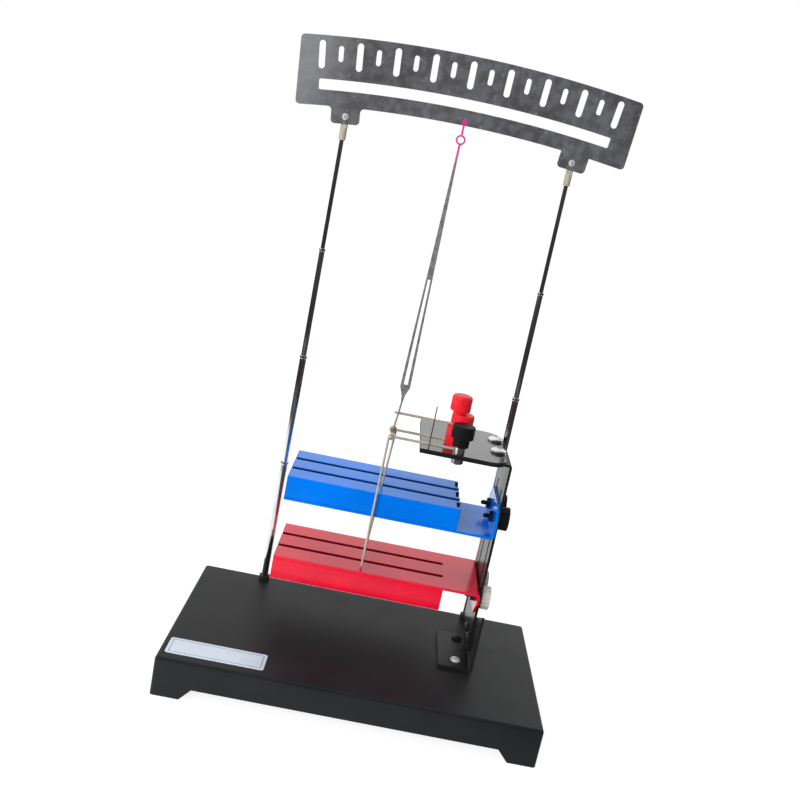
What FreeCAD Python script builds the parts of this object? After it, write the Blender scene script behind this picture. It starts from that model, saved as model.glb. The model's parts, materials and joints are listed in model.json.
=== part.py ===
import FreeCAD, Part
import math
import os

import Sketcher

# Ampere force apparatus: a free-standing classroom stand in which a swinging wire frame hangs
# between an upper and a lower magnet unit, with a pointer that shows the swing on a slotted scale.
# Millimetres. X runs left to right, Y front to back, Z up; the origin is the middle of the base,
# on the surface that the stand is put on.

doc = FreeCAD.newDocument("AmpereForceApparatus")
sheet = doc.addObject("Spreadsheet::Sheet", "Sizes")
pieces = []
NUT_CORNER = 1 / math.sqrt(3)
DEGREES = 180 / math.pi


class Size:
    """A length known both as a number and as the expression that binds it to the sheet."""

    def __init__(self, number, text):
        self.number = float(number)
        self.text = text

    def __add__(self, other):
        other = as_size(other)
        return Size(self.number + other.number, f"({self.text} + {other.text})")

    def __sub__(self, other):
        other = as_size(other)
        return Size(self.number - other.number, f"({self.text} - {other.text})")

    def __mul__(self, other):
        other = as_size(other)
        return Size(self.number * other.number, f"({self.text} * {other.text})")

    def __truediv__(self, other):
        other = as_size(other)
        return Size(self.number / other.number, f"({self.text} / {other.text})")

    def __radd__(self, other):
        return as_size(other) + self

    def __rsub__(self, other):
        return as_size(other) - self

    def __rmul__(self, other):
        return as_size(other) * self

    def __neg__(self):
        return as_size(0) - self


def as_size(value):
    """Let a plain number stand in a formula beside the sheet's sizes."""
    if isinstance(value, Size):
        return value
    return Size(value, f"({float(value):.6f})")


def driving(alias, number, meaning):
    """Enter one driving dimension in the sheet and hand it back."""
    row = driving.next_row
    driving.next_row += 1
    sheet.set(f"A{row}", meaning)
    sheet.set(f"B{row}", str(number))
    sheet.setAlias(f"B{row}", alias)
    return Size(number, f"Sizes.{alias}")


driving.next_row = 1

# Base: a folded sheet tray, open below, cut away between four corner feet
base_length = driving("base_length", 280, "base, left to right")
base_depth = driving("base_depth", 160, "base, front to back")
base_height = driving("base_height", 30, "base, floor to top face")
base_sheet = driving("base_sheet", 1.5, "base sheet thickness")
base_round = driving("base_round", 2.5, "outer radius of the base folds")
foot_floor = driving("foot_floor", 21, "corner foot width on the floor")
foot_shoulder = driving("foot_shoulder", 29, "corner foot width where it meets the skirt")
foot_rise = driving("foot_rise", 9, "height of the cut-out between two feet")

# Blank name sticker on the base
label_length = driving("label_length", 71.5, "sticker length")
label_width = driving("label_width", 21.6, "sticker width")
label_thick = driving("label_thick", 0.3, "sticker thickness")
label_left = driving("label_left", 4.5, "sticker to the base's left edge")
label_front = driving("label_front", 8.4, "sticker to the base's front edge")
label_corner = driving("label_corner", 2, "sticker corner radius")

# Fits shared by the whole stand
fixed_gap = driving("fixed_gap", 0.02, "radial gap of a pressed or glued fit")
running_gap = driving("running_gap", 0.05, "radial gap of a turning or screwed fit")
sliding_gap = driving("sliding_gap", 0.1, "radial gap between two telescopic tubes")
hole_gap = driving("hole_gap", 0.3, "radial gap of a screw in a drilled hole")

# Telescopic rods, left and right
rod_spread = driving("rod_spread", 88, "rod axis to the middle of the base")
rod_inset = driving("rod_inset", 7, "rod axis to the base's back edge")
tube_radius = driving("tube_radius", 3.1, "outer radius of the lowest tube")
tube_wall = driving("tube_wall", 0.4, "wall of each telescopic tube")
tube_collar = driving("tube_collar", 0.35, "how far a tube's mouth ring stands out")
collar_height = driving("collar_height", 2.2, "height of a tube's mouth ring")
stage_overlap = driving("stage_overlap", 18, "length of a tube left inside the one below")
first_rise = driving("first_rise", 108, "visible length of the first tube")
second_rise = driving("second_rise", 91.5, "visible length of the second tube")
third_rise = driving("third_rise", 87.5, "visible length of the third tube")
fourth_rise = driving("fourth_rise", 84, "visible length of the thin top rod")
sleeve_radius = driving("sleeve_radius", 4.5, "foot sleeve outer radius")
sleeve_height = driving("sleeve_height", 4.5, "foot sleeve height")
plug_height = driving("plug_height", 6, "plug in the foot of a rod")
rod_screw = driving("rod_screw", 1.5, "radius of the stud under a rod")
rod_nut_width = driving("rod_nut_width", 5.5, "rod nut across its flats")
rod_nut_height = driving("rod_nut_height", 2.4, "rod nut height")
stud_tail = driving("stud_tail", 1.2, "thread that stands out past a nut")

# End fittings and the slotted scale plate
fitting_radius = driving("fitting_radius", 2.65, "end fitting radius")
fitting_height = driving("fitting_height", 23, "end fitting height")
fitting_socket = driving("fitting_socket", 8, "depth of the rod in its end fitting")
fitting_step = driving("fitting_step", 0.5, "socket's end to the foot of the flats")
fitting_flat = driving("fitting_flat", 1.8, "end fitting flat to its axis")
scale_radius = driving("scale_radius", 966, "radius of the scale's slot row")
scale_slot_rise = driving("scale_slot_rise", 64.8, "middle scale slot above the thin rods' sockets")
scale_above = driving("scale_above", 13.7, "slot row to the plate's upper edge")
scale_below = driving("scale_below", 36.6, "slot row to the plate's lower edge")
scale_past_rod = driving("scale_past_rod", 39.4, "rod axis to the plate's lower corner")
scale_flare = driving("scale_flare", 3.6, "plate's upper corner further out than its lower corner")
scale_blank = driving("scale_blank", 9, "plate's upper corner to the blank's end")
scale_thick = driving("scale_thick", 1, "scale plate thickness")
scale_corner = driving("scale_corner", 3, "scale plate corner radius")
slot_row_end = driving("slot_row_end", 17.4, "last long slot to the plate's upper corner, along the row")
long_slot = driving("long_slot", 20.3, "long scale slot, end to end")
long_slot_width = driving("long_slot_width", 4.8, "long scale slot width")
short_slot = driving("short_slot", 11.5, "short scale slot, end to end")
short_slot_width = driving("short_slot_width", 3.8, "short scale slot width")
short_slot_lift = driving("short_slot_lift", 1.2, "short slots above the long slots' centres")
window_drop = driving("window_drop", 21.2, "slot row to the window slot's centre line")
window_height = driving("window_height", 7.8, "window slot width")
window_end = driving("window_end", 15, "window slot's end to the plate's lower corner, along it")
window_corner = driving("window_corner", 1.2, "corner radius of the window slot")
tab_screw_rise = driving("tab_screw_rise", 17.2, "scale screws above the thin rods' sockets")
tab_half_width = driving("tab_half_width", 11, "half width of a scale plate tab")
tab_drop = driving("tab_drop", 12.2, "plate's lower edge to a tab's end")
scale_screw = driving("scale_screw", 1.25, "scale screw radius")
scale_head = driving("scale_head", 2.6, "scale screw head radius")
scale_head_height = driving("scale_head_height", 1.6, "scale screw head height")
scale_nut_width = driving("scale_nut_width", 5, "scale nut across its flats")
scale_nut_height = driving("scale_nut_height", 2, "scale nut height")

# Foot bracket and the slotted upright that carries everything on the right
bracket_sheet = driving("bracket_sheet", 2, "bracket and upright thickness")
inner_bend = driving("inner_bend", 0.8, "inner radius of a folded sheet's bend")
bracket_foot = driving("bracket_foot", 27, "bracket's foot, left to right")
bracket_ahead = driving("bracket_ahead", 26, "bracket's front edge ahead of the upright's")
bracket_depth = driving("bracket_depth", 56, "bracket, front to back")
web_front_rise = driving("web_front_rise", 47, "web's front corner above the base")
web_back_rise = driving("web_back_rise", 19, "web's back corner above the base")
foot_screw = driving("foot_screw", 2, "radius of the bracket and panel screws")
foot_head = driving("foot_head", 4, "bracket screw head radius")
foot_head_height = driving("foot_head_height", 2.4, "bracket screw head height")
front_screw_right = driving("front_screw_right", 14, "front foot screw from the bracket's left edge")
front_screw_behind = driving("front_screw_behind", 11, "front foot screw from the bracket's front edge")
back_screw_right = driving("back_screw_right", 16, "rear foot screw from the bracket's left edge")
back_screw_behind = driving("back_screw_behind", 46, "rear foot screw from the bracket's front edge")
nut_width = driving("nut_width", 7, "bracket and panel nut across its flats")
nut_height = driving("nut_height", 3, "bracket and panel nut height")
upright_inset = driving("upright_inset", 2, "upright's left face left of the rod's axis")
upright_ahead = driving("upright_ahead", 3.9, "upright's back edge ahead of the rod's front")
upright_width = driving("upright_width", 58, "upright, front to back")
upright_lift = driving("upright_lift", 2, "upright's lower edge above the bracket's foot")
upright_height = driving("upright_height", 157.5, "upright, lower edge to the flange's upper face")
flange_reach = driving("flange_reach", 28, "upright's flange, right to left")
bolt_rise = driving("bolt_rise", 9, "bolts above the upright's lower edge")
bolt_first = driving("bolt_first", 6, "front bolt from the upright's front edge")
bolt_second = driving("bolt_second", 23, "rear bolt from the upright's front edge")
slot_first = driving("slot_first", 14, "front clamp slot from the upright's front edge")
slot_second = driving("slot_second", 44, "rear clamp slot from the upright's front edge")
slot_below = driving("slot_below", 13.5, "clamp slots below the red clamp screws")
slot_above = driving("slot_above", 23.5, "clamp slots above the blue clamp screws")

# Terminal panel
panel_inset = driving("panel_inset", 5.7, "panel's right edge from the upright's right face")
panel_length = driving("panel_length", 66.3, "terminal panel, left to right")
panel_lip = driving("panel_lip", 5.2, "panel's front edge ahead of the black post")
panel_behind = driving("panel_behind", 13.9, "panel's back edge behind the upright's")
panel_thick = driving("panel_thick", 3.5, "terminal panel thickness")
panel_corner = driving("panel_corner", 13, "rounded right corners of the panel")
panel_screw_left = driving("panel_screw_left", 5.3, "panel screws from the panel's right edge")
panel_first = driving("panel_first", 16, "front panel screw from the upright's front edge")
panel_second = driving("panel_second", 48, "rear panel screw from the upright's front edge")
dome_radius = driving("dome_radius", 6.4, "panel screw head radius")
dome_height = driving("dome_height", 3.8, "panel screw head height")

# Swing axis and the three brass arms
swing_x = driving("swing_x", -6, "swing axis, across")
swing_rise = driving("swing_rise", 3, "swing axis above the panel")
arm_ahead = driving("arm_ahead", 1.3, "front arm ahead of the front bar's face")
arm_within = driving("arm_within", 0.2, "back arm ahead of the front bar's back face")
arm_radius = driving("arm_radius", 1, "brass arm radius")
eye_weld = driving("eye_weld", 0.35, "an arm's straight run ends this far outside its eye's centre line")
top_arm_lift = driving("top_arm_lift", 0.1, "top arm's eye above the red post's base")
top_arm_past = driving("top_arm_past", 1.5, "top arm's end left of the swing axis")

# Binding posts
black_post_left = driving("black_post_left", 37.3, "black post from the panel's right edge")
red_post_left = driving("red_post_left", 41.3, "red post from the panel's right edge")
stud_radius = driving("stud_radius", 2, "binding post stud radius")
post_nut_width = driving("post_nut_width", 8, "post nut across its flats")
post_nut_height = driving("post_nut_height", 4, "post nut height")
collar_radius = driving("collar_radius", 4.5, "black post's metal collar radius")
collar_past_arm = driving("collar_past_arm", 1.5, "black post's metal collar above the arm in it")
knob_lift = driving("knob_lift", 0.2, "post knob above what it clamps")
black_knob_neck = driving("black_knob_neck", 6.2, "black knob lower radius")
black_neck_height = driving("black_neck_height", 6.5, "black knob lower part height")
black_knob_radius = driving("black_knob_radius", 8.6, "black knob upper radius")
black_knob_height = driving("black_knob_height", 16.5, "black knob height")
red_base_radius = driving("red_base_radius", 7, "red post base radius")
red_base_height = driving("red_base_height", 15.4, "red post base height")
red_flange_radius = driving("red_flange_radius", 8.6, "red knob flange radius")
red_flange_aside = driving("red_flange_aside", 3.4, "red knob flange right of its stud")
red_flange_height = driving("red_flange_height", 8, "red knob flange height")
red_neck_radius = driving("red_neck_radius", 4.9, "red knob neck radius")
red_neck_height = driving("red_neck_height", 1.8, "red knob neck height")
red_cap_radius = driving("red_cap_radius", 7.8, "red knob cap radius")
red_cap_height = driving("red_cap_height", 12.5, "red knob cap height")
stud_in_knob = driving("stud_in_knob", 12, "length of a stud inside its knob")
stud_room = driving("stud_room", 1, "room past a stud's end inside its knob")

# Thin steel pin that stands in the panel's front edge
pin_right = driving("pin_right", 6, "steel pin from the panel's left edge")
pin_behind = driving("pin_behind", 1.4, "steel pin from the panel's front edge")
pin_radius = driving("pin_radius", 0.4, "steel pin radius")
pin_height = driving("pin_height", 33, "steel pin above the panel")

# Swinging wire frame
wire_radius = driving("wire_radius", 0.9, "wire frame radius")
leg_beside_arm = driving("leg_beside_arm", 2.6, "wire leg to the axis of the arm beside it")
leg_crank = driving("leg_crank", 2.4, "wire leg beside the swing axis at its top")
front_leg_lean = driving("front_leg_lean", 1, "front leg, further left at its foot")
back_leg_lean = driving("back_leg_lean", 5.2, "back leg, further left at its foot")
wire_lift = driving("wire_lift", 6, "wire's level run above the red carrier")
wire_bend = driving("wire_bend", 1.1, "bend radius of the wire beside the arms")
wire_corner = driving("wire_corner", 2.5, "bend radius of the wire's lower corners")
sleeve_hub = driving("sleeve_hub", 1.6, "radius of the insulating axle sleeve")
sleeve_beside_arm = driving("sleeve_beside_arm", 1.5, "axle sleeve's end to the axis of the arm beside it")
wire_in_sleeve = driving("wire_in_sleeve", 4, "length of each wire end in the axle sleeve")
wire_room = driving("wire_room", 0.2, "room past a wire's end inside the axle sleeve")

# Pointer
pointer_ahead = driving("pointer_ahead", 3.7, "pointer's plane ahead of the back arm")
stem_radius = driving("stem_radius", 0.7, "pointer stem radius")
stem_gap = driving("stem_gap", 0.06, "end of the pointer stem below the blade's foot")
blade_foot_right = driving("blade_foot_right", 2.2, "foot of the pointer blade right of the swing axis")
blade_foot_rise = driving("blade_foot_rise", 23, "foot of the pointer blade above the swing axis")
blade_length = driving("blade_length", 210.7, "pointer blade length")
blade_thick = driving("blade_thick", 0.8, "pointer blade thickness")
blade_lean = driving("blade_lean", 1.04, "lean of the pointer to the right in degrees")
blade_half_width = driving("blade_half_width", 3.8, "half the blade's widest part")
blade_shoulder = driving("blade_shoulder", 12, "blade's foot to its widest part")
blade_throat = driving("blade_throat", 1.3, "half width of the throat below the widest part")
throat_rise = driving("throat_rise", 5.5, "throat above the blade's foot")
window_low_half = driving("window_low_half", 1.5, "half width of the blade's window at its lower end")
window_high_half = driving("window_high_half", 0.95, "half width of the window at its upper end")
window_foot = driving("window_foot", 14, "blade's foot to the window's lower end")
window_length = driving("window_length", 80.6, "length of the blade's window")
waist_past_window = driving("waist_past_window", 1, "window's upper end to the end of the wide part")
blade_waist = driving("blade_waist", 2.3, "half width at the end of the wide part")
blade_neck = driving("blade_neck", 0.65, "half width at the ring")
ring_below_tip = driving("ring_below_tip", 15.3, "ring's centre below the pointer's tip")
ring_radius = driving("ring_radius", 3.5, "ring outer radius")
ring_bore = driving("ring_bore", 2.3, "ring bore radius")
ring_sink = driving("ring_sink", 0.33, "how far the blade runs into the ring")
tip_width = driving("tip_width", 2.1, "half width of the spade tip")
tip_shoulder = driving("tip_shoulder", 3.8, "spade tip's widest part to its point")
tip_head = driving("tip_head", 5.6, "foot of the spade tip to its point")

# Magnet units: a comb-shaped carrier with a leaf against the upright, and three bars
bar_length = driving("bar_length", 134, "magnet bar length")
bar_width = driving("bar_width", 19.5, "magnet bar width")
bar_height = driving("bar_height", 17.2, "magnet bar height")
bar_gap = driving("bar_gap", 4.75, "groove between two bars")
bar_beside = driving("bar_beside", 29.5, "right end of the bars to the upright")
bar_ahead = driving("bar_ahead", 0.9, "rear bar's back face ahead of the rod's front")
bar_edge = driving("bar_edge", 0.6, "edge radius of the bars")
notch_length = driving("notch_length", 3.2, "length of the notch in a bar's right end")
notch_width = driving("notch_width", 12, "width of the notch, front to back")
notch_depth = driving("notch_depth", 2, "depth of the notch")
carrier_sheet = driving("carrier_sheet", 2, "carrier sheet thickness")
red_rise = driving("red_rise", 56, "upper face of the red carrier above the base")
field_gap = driving("field_gap", 46.3, "height of the gap between the two carriers")
blue_leaf = driving("blue_leaf", 25, "height of the blue carrier's leaf")
red_leaf = driving("red_leaf", 20, "height of the red carrier's leaf")
leaf_cut = driving("leaf_cut", 11, "cut corner of a leaf")
blue_clamp = driving("blue_clamp", 11.5, "blue clamp screws above the carrier's lower face")
red_clamp = driving("red_clamp", 10.5, "red clamp screws below the carrier's upper face")
clamp_screw = driving("clamp_screw", 2, "clamp screw radius")
clamp_tail = driving("clamp_tail", 4.5, "clamp screw past its nut")
clamp_nut_width = driving("clamp_nut_width", 8, "clamp nut across its flats")
clamp_nut_height = driving("clamp_nut_height", 3.2, "clamp nut height")
clamp_knob_radius = driving("clamp_knob_radius", 9.3, "clamp knob radius")
clamp_knob_height = driving("clamp_knob_height", 8, "clamp knob thickness")
clamp_knob_lift = driving("clamp_knob_lift", 0.2, "clamp knob off the upright")
clamp_hub = driving("clamp_hub", 5.8, "radius of a clamp knob's foot")
clamp_hub_height = driving("clamp_hub_height", 1.2, "height of a clamp knob's foot")
clamp_socket = driving("clamp_socket", 4.8, "depth of the clamp screw in its knob")
grip_radius = driving("grip_radius", 1.3, "radius of a knob's grip flute")
grip_outside = driving("grip_outside", 0.7, "flute's axis outside the knob's rim")
GRIP_COUNT = 14
POST_GRIP_COUNT = 12
SCALE_LONG_SLOTS = 9
SCALE_SHORT_SLOTS = 8
PAST = 1

doc.recompute()

half_length = base_length / 2
half_depth = base_depth / 2

# Rods and scale plate
rod_back = half_depth - rod_inset
stage_tops = [base_height + first_rise]
for rise in (second_rise, third_rise, fourth_rise):
    stage_tops.append(stage_tops[-1] + rise)
stage_radii = [tube_radius]
for stage in range(3):
    stage_radii.append(stage_radii[-1] - tube_wall - sliding_gap)
tab_screw_z = stage_tops[3] + tab_screw_rise
scale_centre_z = stage_tops[3] + scale_slot_rise - scale_radius
scale_bottom_half = rod_spread + scale_past_rod
scale_top_half = scale_bottom_half + scale_flare
scale_pitch = (scale_top_half - slot_row_end) / scale_radius * DEGREES * 2 / (SCALE_LONG_SLOTS - 1)
window_row = scale_radius - window_drop
window_half_angle = (scale_bottom_half - window_end) / window_row * DEGREES

# Bracket, upright and panel, measured from the right rod and the base
upright_left = rod_spread - upright_inset
upright_right = upright_left + bracket_sheet
bracket_right = upright_right + bracket_sheet
bracket_left = bracket_right - bracket_foot
foot_top = base_height + bracket_sheet
upright_back = rod_back - tube_radius - upright_ahead
upright_front = upright_back - upright_width
upright_bottom = foot_top + upright_lift
upright_top = upright_bottom + upright_height
bolt_height = upright_bottom + bolt_rise
bolt_rows = (upright_front + bolt_first, upright_front + bolt_second)
clamp_rows = (upright_front + slot_first, upright_front + slot_second)
bracket_front = upright_front - bracket_ahead
bracket_back = bracket_front + bracket_depth
front_screw_place = (bracket_left + front_screw_right, bracket_front + front_screw_behind)
back_screw_place = (bracket_left + back_screw_right, bracket_front + back_screw_behind)
panel_top = upright_top + panel_thick
panel_right = upright_right - panel_inset
panel_left = panel_right - panel_length
panel_screw_x = panel_right - panel_screw_left
panel_screw_rows = (upright_front + panel_first, upright_front + panel_second)

# Magnet units, and the arms and posts that straddle their front bar
bar_back = rod_back - tube_radius - bar_ahead
bar_front = bar_back - 3 * bar_width - 2 * bar_gap
bar_right = upright_left - bar_beside
bar_left = bar_right - bar_length
red_ceiling = base_height + red_rise
blue_floor = red_ceiling + field_gap
front_arm_y = bar_front - arm_ahead
back_arm_y = bar_front + bar_width - arm_within
swing_z = panel_top + swing_rise
top_arm_z = panel_top + red_base_height + arm_radius + top_arm_lift
black_post_x = panel_right - black_post_left
red_post_x = panel_right - red_post_left
panel_front = front_arm_y - panel_lip
post_collar_height = swing_rise + arm_radius + collar_past_arm


def place(thing, x=0, y=0, z=0, rotation=None):
    """Put an object at a place bound to the sheet, turned by a fixed rotation if one is given."""
    if rotation is not None:
        thing.Placement.Rotation = rotation
    for axis, value in zip("xyz", (x, y, z)):
        thing.setExpression(f"Placement.Base.{axis}", as_size(value).text)


FACING_RIGHT = FreeCAD.Rotation(FreeCAD.Vector(0, 1, 0), 90)
FACING_LEFT = FreeCAD.Rotation(FreeCAD.Vector(0, 1, 0), -90)
FACING_FRONT = FreeCAD.Rotation(FreeCAD.Vector(1, 0, 0), 90)
FACING_BACK = FreeCAD.Rotation(FreeCAD.Vector(1, 0, 0), -90)


class Piece:
    """One solid made of sketches and features in a body of its own."""

    def __init__(self, label, x=0, y=0, z=0, rotation=None, listed=True):
        self.body = doc.addObject("PartDesign::Body", label)
        self.body.Label = label
        place(self.body, x, y, z, rotation)
        if listed:
            pieces.append(self.body)

    def origin(self, role):
        """The body's own origin plane or axis with this role."""
        for feature in self.body.Origin.OriginFeatures:
            if feature.Role == role:
                return feature
        raise ValueError(role)

    def sketch(self, plane, offset=0, turn=None):
        """A sketch on an origin plane, moved along the plane's normal and turned about it."""
        sketch = self.body.newObject("Sketcher::SketchObject", "Profile")
        sketch.AttachmentSupport = [(self.origin(plane), "")]
        sketch.MapMode = "FlatFace"
        sketch.setExpression("AttachmentOffset.Base.z", as_size(offset).text)
        if turn is not None:
            sketch.AttachmentOffset.Rotation = FreeCAD.Rotation(FreeCAD.Vector(0, 0, 1), turn.number)
            sketch.setExpression("AttachmentOffset.Rotation.Angle", turn.text)
        return sketch

    def feature(self, kind, profile):
        """A feature of this kind on the profile, with the profile hidden inside it."""
        feature = self.body.newObject(f"PartDesign::{kind}", kind)
        feature.Profile = profile
        return feature

    def pad(self, profile, length, backwards=False):
        """Thicken a profile along its plane's normal, or against it."""
        pad = self.feature("Pad", profile)
        pad.setExpression("Length", as_size(length).text)
        pad.Reversed = backwards
        doc.recompute()
        return pad

    def cut(self, profile, depth=None, backwards=False):
        """Cut a profile right through both ways, or to a depth; the solid must lose material."""
        before = self.body.Shape.Volume
        pocket = self.feature("Pocket", profile)
        if depth is None:
            pocket.Type = "ThroughAll"
            pocket.Midplane = True
        else:
            pocket.setExpression("Length", as_size(depth).text)
            pocket.Reversed = backwards
        doc.recompute()
        if not self.body.Shape.Volume < before:
            raise RuntimeError(f"{self.body.Label}: a pocket removes nothing")
        return pocket

    def turn(self, profile, axis, angle=None, removes=False):
        """Revolve a profile about its sketch's own axis, a full turn or evenly to both sides."""
        before = self.body.Shape.Volume if removes else 0
        turned = self.feature("Groove" if removes else "Revolution", profile)
        turned.ReferenceAxis = (profile, [axis])
        if angle is not None:
            turned.Midplane = True
            turned.setExpression("Angle", angle.text)
        doc.recompute()
        if removes and not self.body.Shape.Volume < before:
            raise RuntimeError(f"{self.body.Label}: a groove removes nothing")
        return turned

    def repeat(self, feature, axis, count, angle=None):
        """Repeat a feature about an origin axis, over a full circle or over a given angle."""
        pattern = self.body.newObject("PartDesign::PolarPattern", "Pattern")
        pattern.Originals = [feature]
        pattern.Axis = (self.origin(axis), [""])
        pattern.Occurrences = count
        if angle is None:
            pattern.Angle = 360
        else:
            pattern.setExpression("Angle", angle.text)
        self.body.Tip = pattern
        doc.recompute()
        return pattern

    def soften(self, radius, wanted):
        """Round the edges that the test picks out."""
        base = self.body.Tip
        names = []
        for number, edge in enumerate(base.Shape.Edges, 1):
            if wanted(edge):
                names.append(f"Edge{number}")
        fillet = self.body.newObject("PartDesign::Fillet", "Fillet")
        fillet.Base = (base, names)
        fillet.setExpression("Radius", as_size(radius).text)
        doc.recompute()
        return fillet


def pin_point(sketch, geometry, end, x, y):
    """Hold one point of a sketch at a place measured from the sketch's origin."""
    for kind, value in (("DistanceX", as_size(x)), ("DistanceY", as_size(y))):
        index = sketch.addConstraint(Sketcher.Constraint(kind, -1, 1, geometry, end, value.number))
        sketch.setExpression(f"Constraints[{index}]", value.text)


def polygon(sketch, points):
    """Close a run of straight lines through points bound to the sheet."""
    points = [(as_size(x), as_size(y)) for x, y in points]
    first = None
    for index, (x, y) in enumerate(points):
        next_x, next_y = points[(index + 1) % len(points)]
        start = FreeCAD.Vector(x.number, y.number, 0)
        end = FreeCAD.Vector(next_x.number, next_y.number, 0)
        line = sketch.addGeometry(Part.LineSegment(start, end), False)
        if first is None:
            first = line
        else:
            sketch.addConstraint(Sketcher.Constraint("Coincident", line - 1, 2, line, 1))
        pin_point(sketch, line, 1, x, y)
    sketch.addConstraint(Sketcher.Constraint("Coincident", line, 2, first, 1))
    return sketch


def rectangle(sketch, left, right, low, high):
    """Close a rectangle between two places across and two places up."""
    return polygon(sketch, [(left, low), (right, low), (right, high), (left, high)])


def circle(sketch, x, y, radius):
    """Add a circle with its centre and radius bound to the sheet."""
    x, y, radius = as_size(x), as_size(y), as_size(radius)
    centre = FreeCAD.Vector(x.number, y.number, 0)
    index = sketch.addGeometry(Part.Circle(centre, FreeCAD.Vector(0, 0, 1), radius.number), False)
    pin_point(sketch, index, 3, x, y)
    held = sketch.addConstraint(Sketcher.Constraint("Radius", index, radius.number))
    sketch.setExpression(f"Constraints[{held}]", radius.text)
    return sketch


def upright_slot(sketch, x, low, high, width):
    """Add a slot with round ends that runs up the sketch."""
    x, width = as_size(x), as_size(width)
    radius = width / 2
    bottom = as_size(low) + radius
    top = as_size(high) - radius
    up = FreeCAD.Vector(0, 0, 1)
    lower = Part.Circle(FreeCAD.Vector(x.number, bottom.number, 0), up, radius.number)
    upper = Part.Circle(FreeCAD.Vector(x.number, top.number, 0), up, radius.number)
    low_arc = sketch.addGeometry(Part.ArcOfCircle(lower, math.pi, 2 * math.pi), False)
    high_arc = sketch.addGeometry(Part.ArcOfCircle(upper, 0, math.pi), False)
    sides = []
    for side in (1, -1):
        start = FreeCAD.Vector(x.number + side * radius.number, bottom.number, 0)
        end = FreeCAD.Vector(x.number + side * radius.number, top.number, 0)
        sides.append(sketch.addGeometry(Part.LineSegment(start, end), False))
    right, left = sides
    sketch.addConstraint(Sketcher.Constraint("Tangent", low_arc, 2, right, 1))
    sketch.addConstraint(Sketcher.Constraint("Tangent", right, 2, high_arc, 1))
    sketch.addConstraint(Sketcher.Constraint("Tangent", high_arc, 2, left, 2))
    sketch.addConstraint(Sketcher.Constraint("Tangent", left, 1, low_arc, 1))
    pin_point(sketch, low_arc, 3, x, bottom)
    pin_point(sketch, high_arc, 3, x, top)
    held = sketch.addConstraint(Sketcher.Constraint("Radius", low_arc, radius.number))
    sketch.setExpression(f"Constraints[{held}]", radius.text)
    return sketch


def turned_piece(label, outline, x=0, y=0, z=0, rotation=None, listed=True):
    """A turned solid: its outline is (radius, height) points, its axis the body's own Z."""
    piece = Piece(label, x, y, z, rotation, listed)
    profile = polygon(piece.sketch("XZ_Plane"), outline)
    piece.turn(profile, "V_Axis")
    return piece


def at_height(value):
    """Pick the edges that lie level at one height."""
    return lambda edge: all(abs(vertex.Z - as_size(value).number) < 1e-4 for vertex in edge.Vertexes)


def is_vertical(edge):
    """Pick the straight edges that run up the piece."""
    low, high = edge.Vertexes[0].Point, edge.Vertexes[-1].Point
    return abs(low.x - high.x) < 1e-6 and abs(low.y - high.y) < 1e-6 and abs(low.z - high.z) > 1e-6


def fold(piece, corner_x, corner_z, inside_x, inside_z, sheet_thick):
    """Round the outer and the inner edge of a bend that runs front to back."""
    for x, z, radius in ((corner_x, corner_z, inner_bend + sheet_thick), (inside_x, inside_z, inner_bend)):
        place_x, place_z = as_size(x).number, as_size(z).number
        piece.soften(radius, lambda edge: len(edge.Vertexes) == 2 and all(
            abs(vertex.X - place_x) < 1e-4 and abs(vertex.Z - place_z) < 1e-4 for vertex in edge.Vertexes))


def hex_nut(label, width, height, bore, x, y, z, rotation=None):
    """A hexagon nut whose lower face is at the given place."""
    prism = doc.addObject("Part::Prism", f"{label}_prism")
    prism.Polygon = 6
    prism.setExpression("Circumradius", (width * NUT_CORNER).text)
    prism.setExpression("Height", height.text)
    hole = doc.addObject("Part::Cylinder", f"{label}_hole")
    hole.setExpression("Radius", bore.text)
    hole.setExpression("Height", height.text)
    nut = doc.addObject("Part::Cut", label)
    nut.Base = prism
    nut.Tool = hole
    place(nut, x, y, z, rotation)
    return nut


def group(label, members):
    """Several equal pieces under one name."""
    compound = doc.addObject("Part::Compound", label)
    compound.Label = label
    compound.Links = members
    pieces.append(compound)


def headed_screw(label, shank, length, head, head_height, x, y, z, rotation=None, listed=True,
                 dome=0.6):
    """A screw with a softened head; its seat is at the given place and its shank goes down."""
    outline = [(0, -length), (shank, -length), (shank, 0), (head, 0), (head, head_height), (0, head_height)]
    screw = turned_piece(label, outline, x, y, z, rotation, listed)
    screw.soften(head_height * dome, at_height(head_height))
    return screw.body


def build_base():
    """The tray with its feet, its screw holes and the blank sticker."""
    tray = Piece("base_tray")
    tray.pad(rectangle(tray.sketch("XY_Plane"), -half_length, half_length, -half_depth, half_depth),
             base_height)
    tray.soften(base_round, lambda edge: is_vertical(edge) or at_height(base_height)(edge))
    inside = rectangle(tray.sketch("XY_Plane"), base_sheet - half_length, half_length - base_sheet,
                       base_sheet - half_depth, half_depth - base_sheet)
    tray.cut(inside, base_height - base_sheet, backwards=True)
    for plane, half in (("XZ_Plane", half_length), ("YZ_Plane", half_depth)):
        arch = [(foot_floor - half, 0), (half - foot_floor, 0),
                (half - foot_shoulder, foot_rise), (foot_shoulder - half, foot_rise)]
        tray.cut(polygon(tray.sketch(plane), arch))
    holes = tray.sketch("XY_Plane")
    for x in (-rod_spread, rod_spread):
        circle(holes, x, rod_back, rod_screw + hole_gap)
    for x, y in (front_screw_place, back_screw_place):
        circle(holes, x, y, foot_screw + hole_gap)
    tray.cut(holes)

    label = Piece("base_label", z=base_height)
    left = label_left - half_length
    front = label_front - half_depth
    label.pad(rectangle(label.sketch("XY_Plane"), left, left + label_length, front, front + label_width),
              label_thick)
    label.soften(label_corner, is_vertical)


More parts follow.
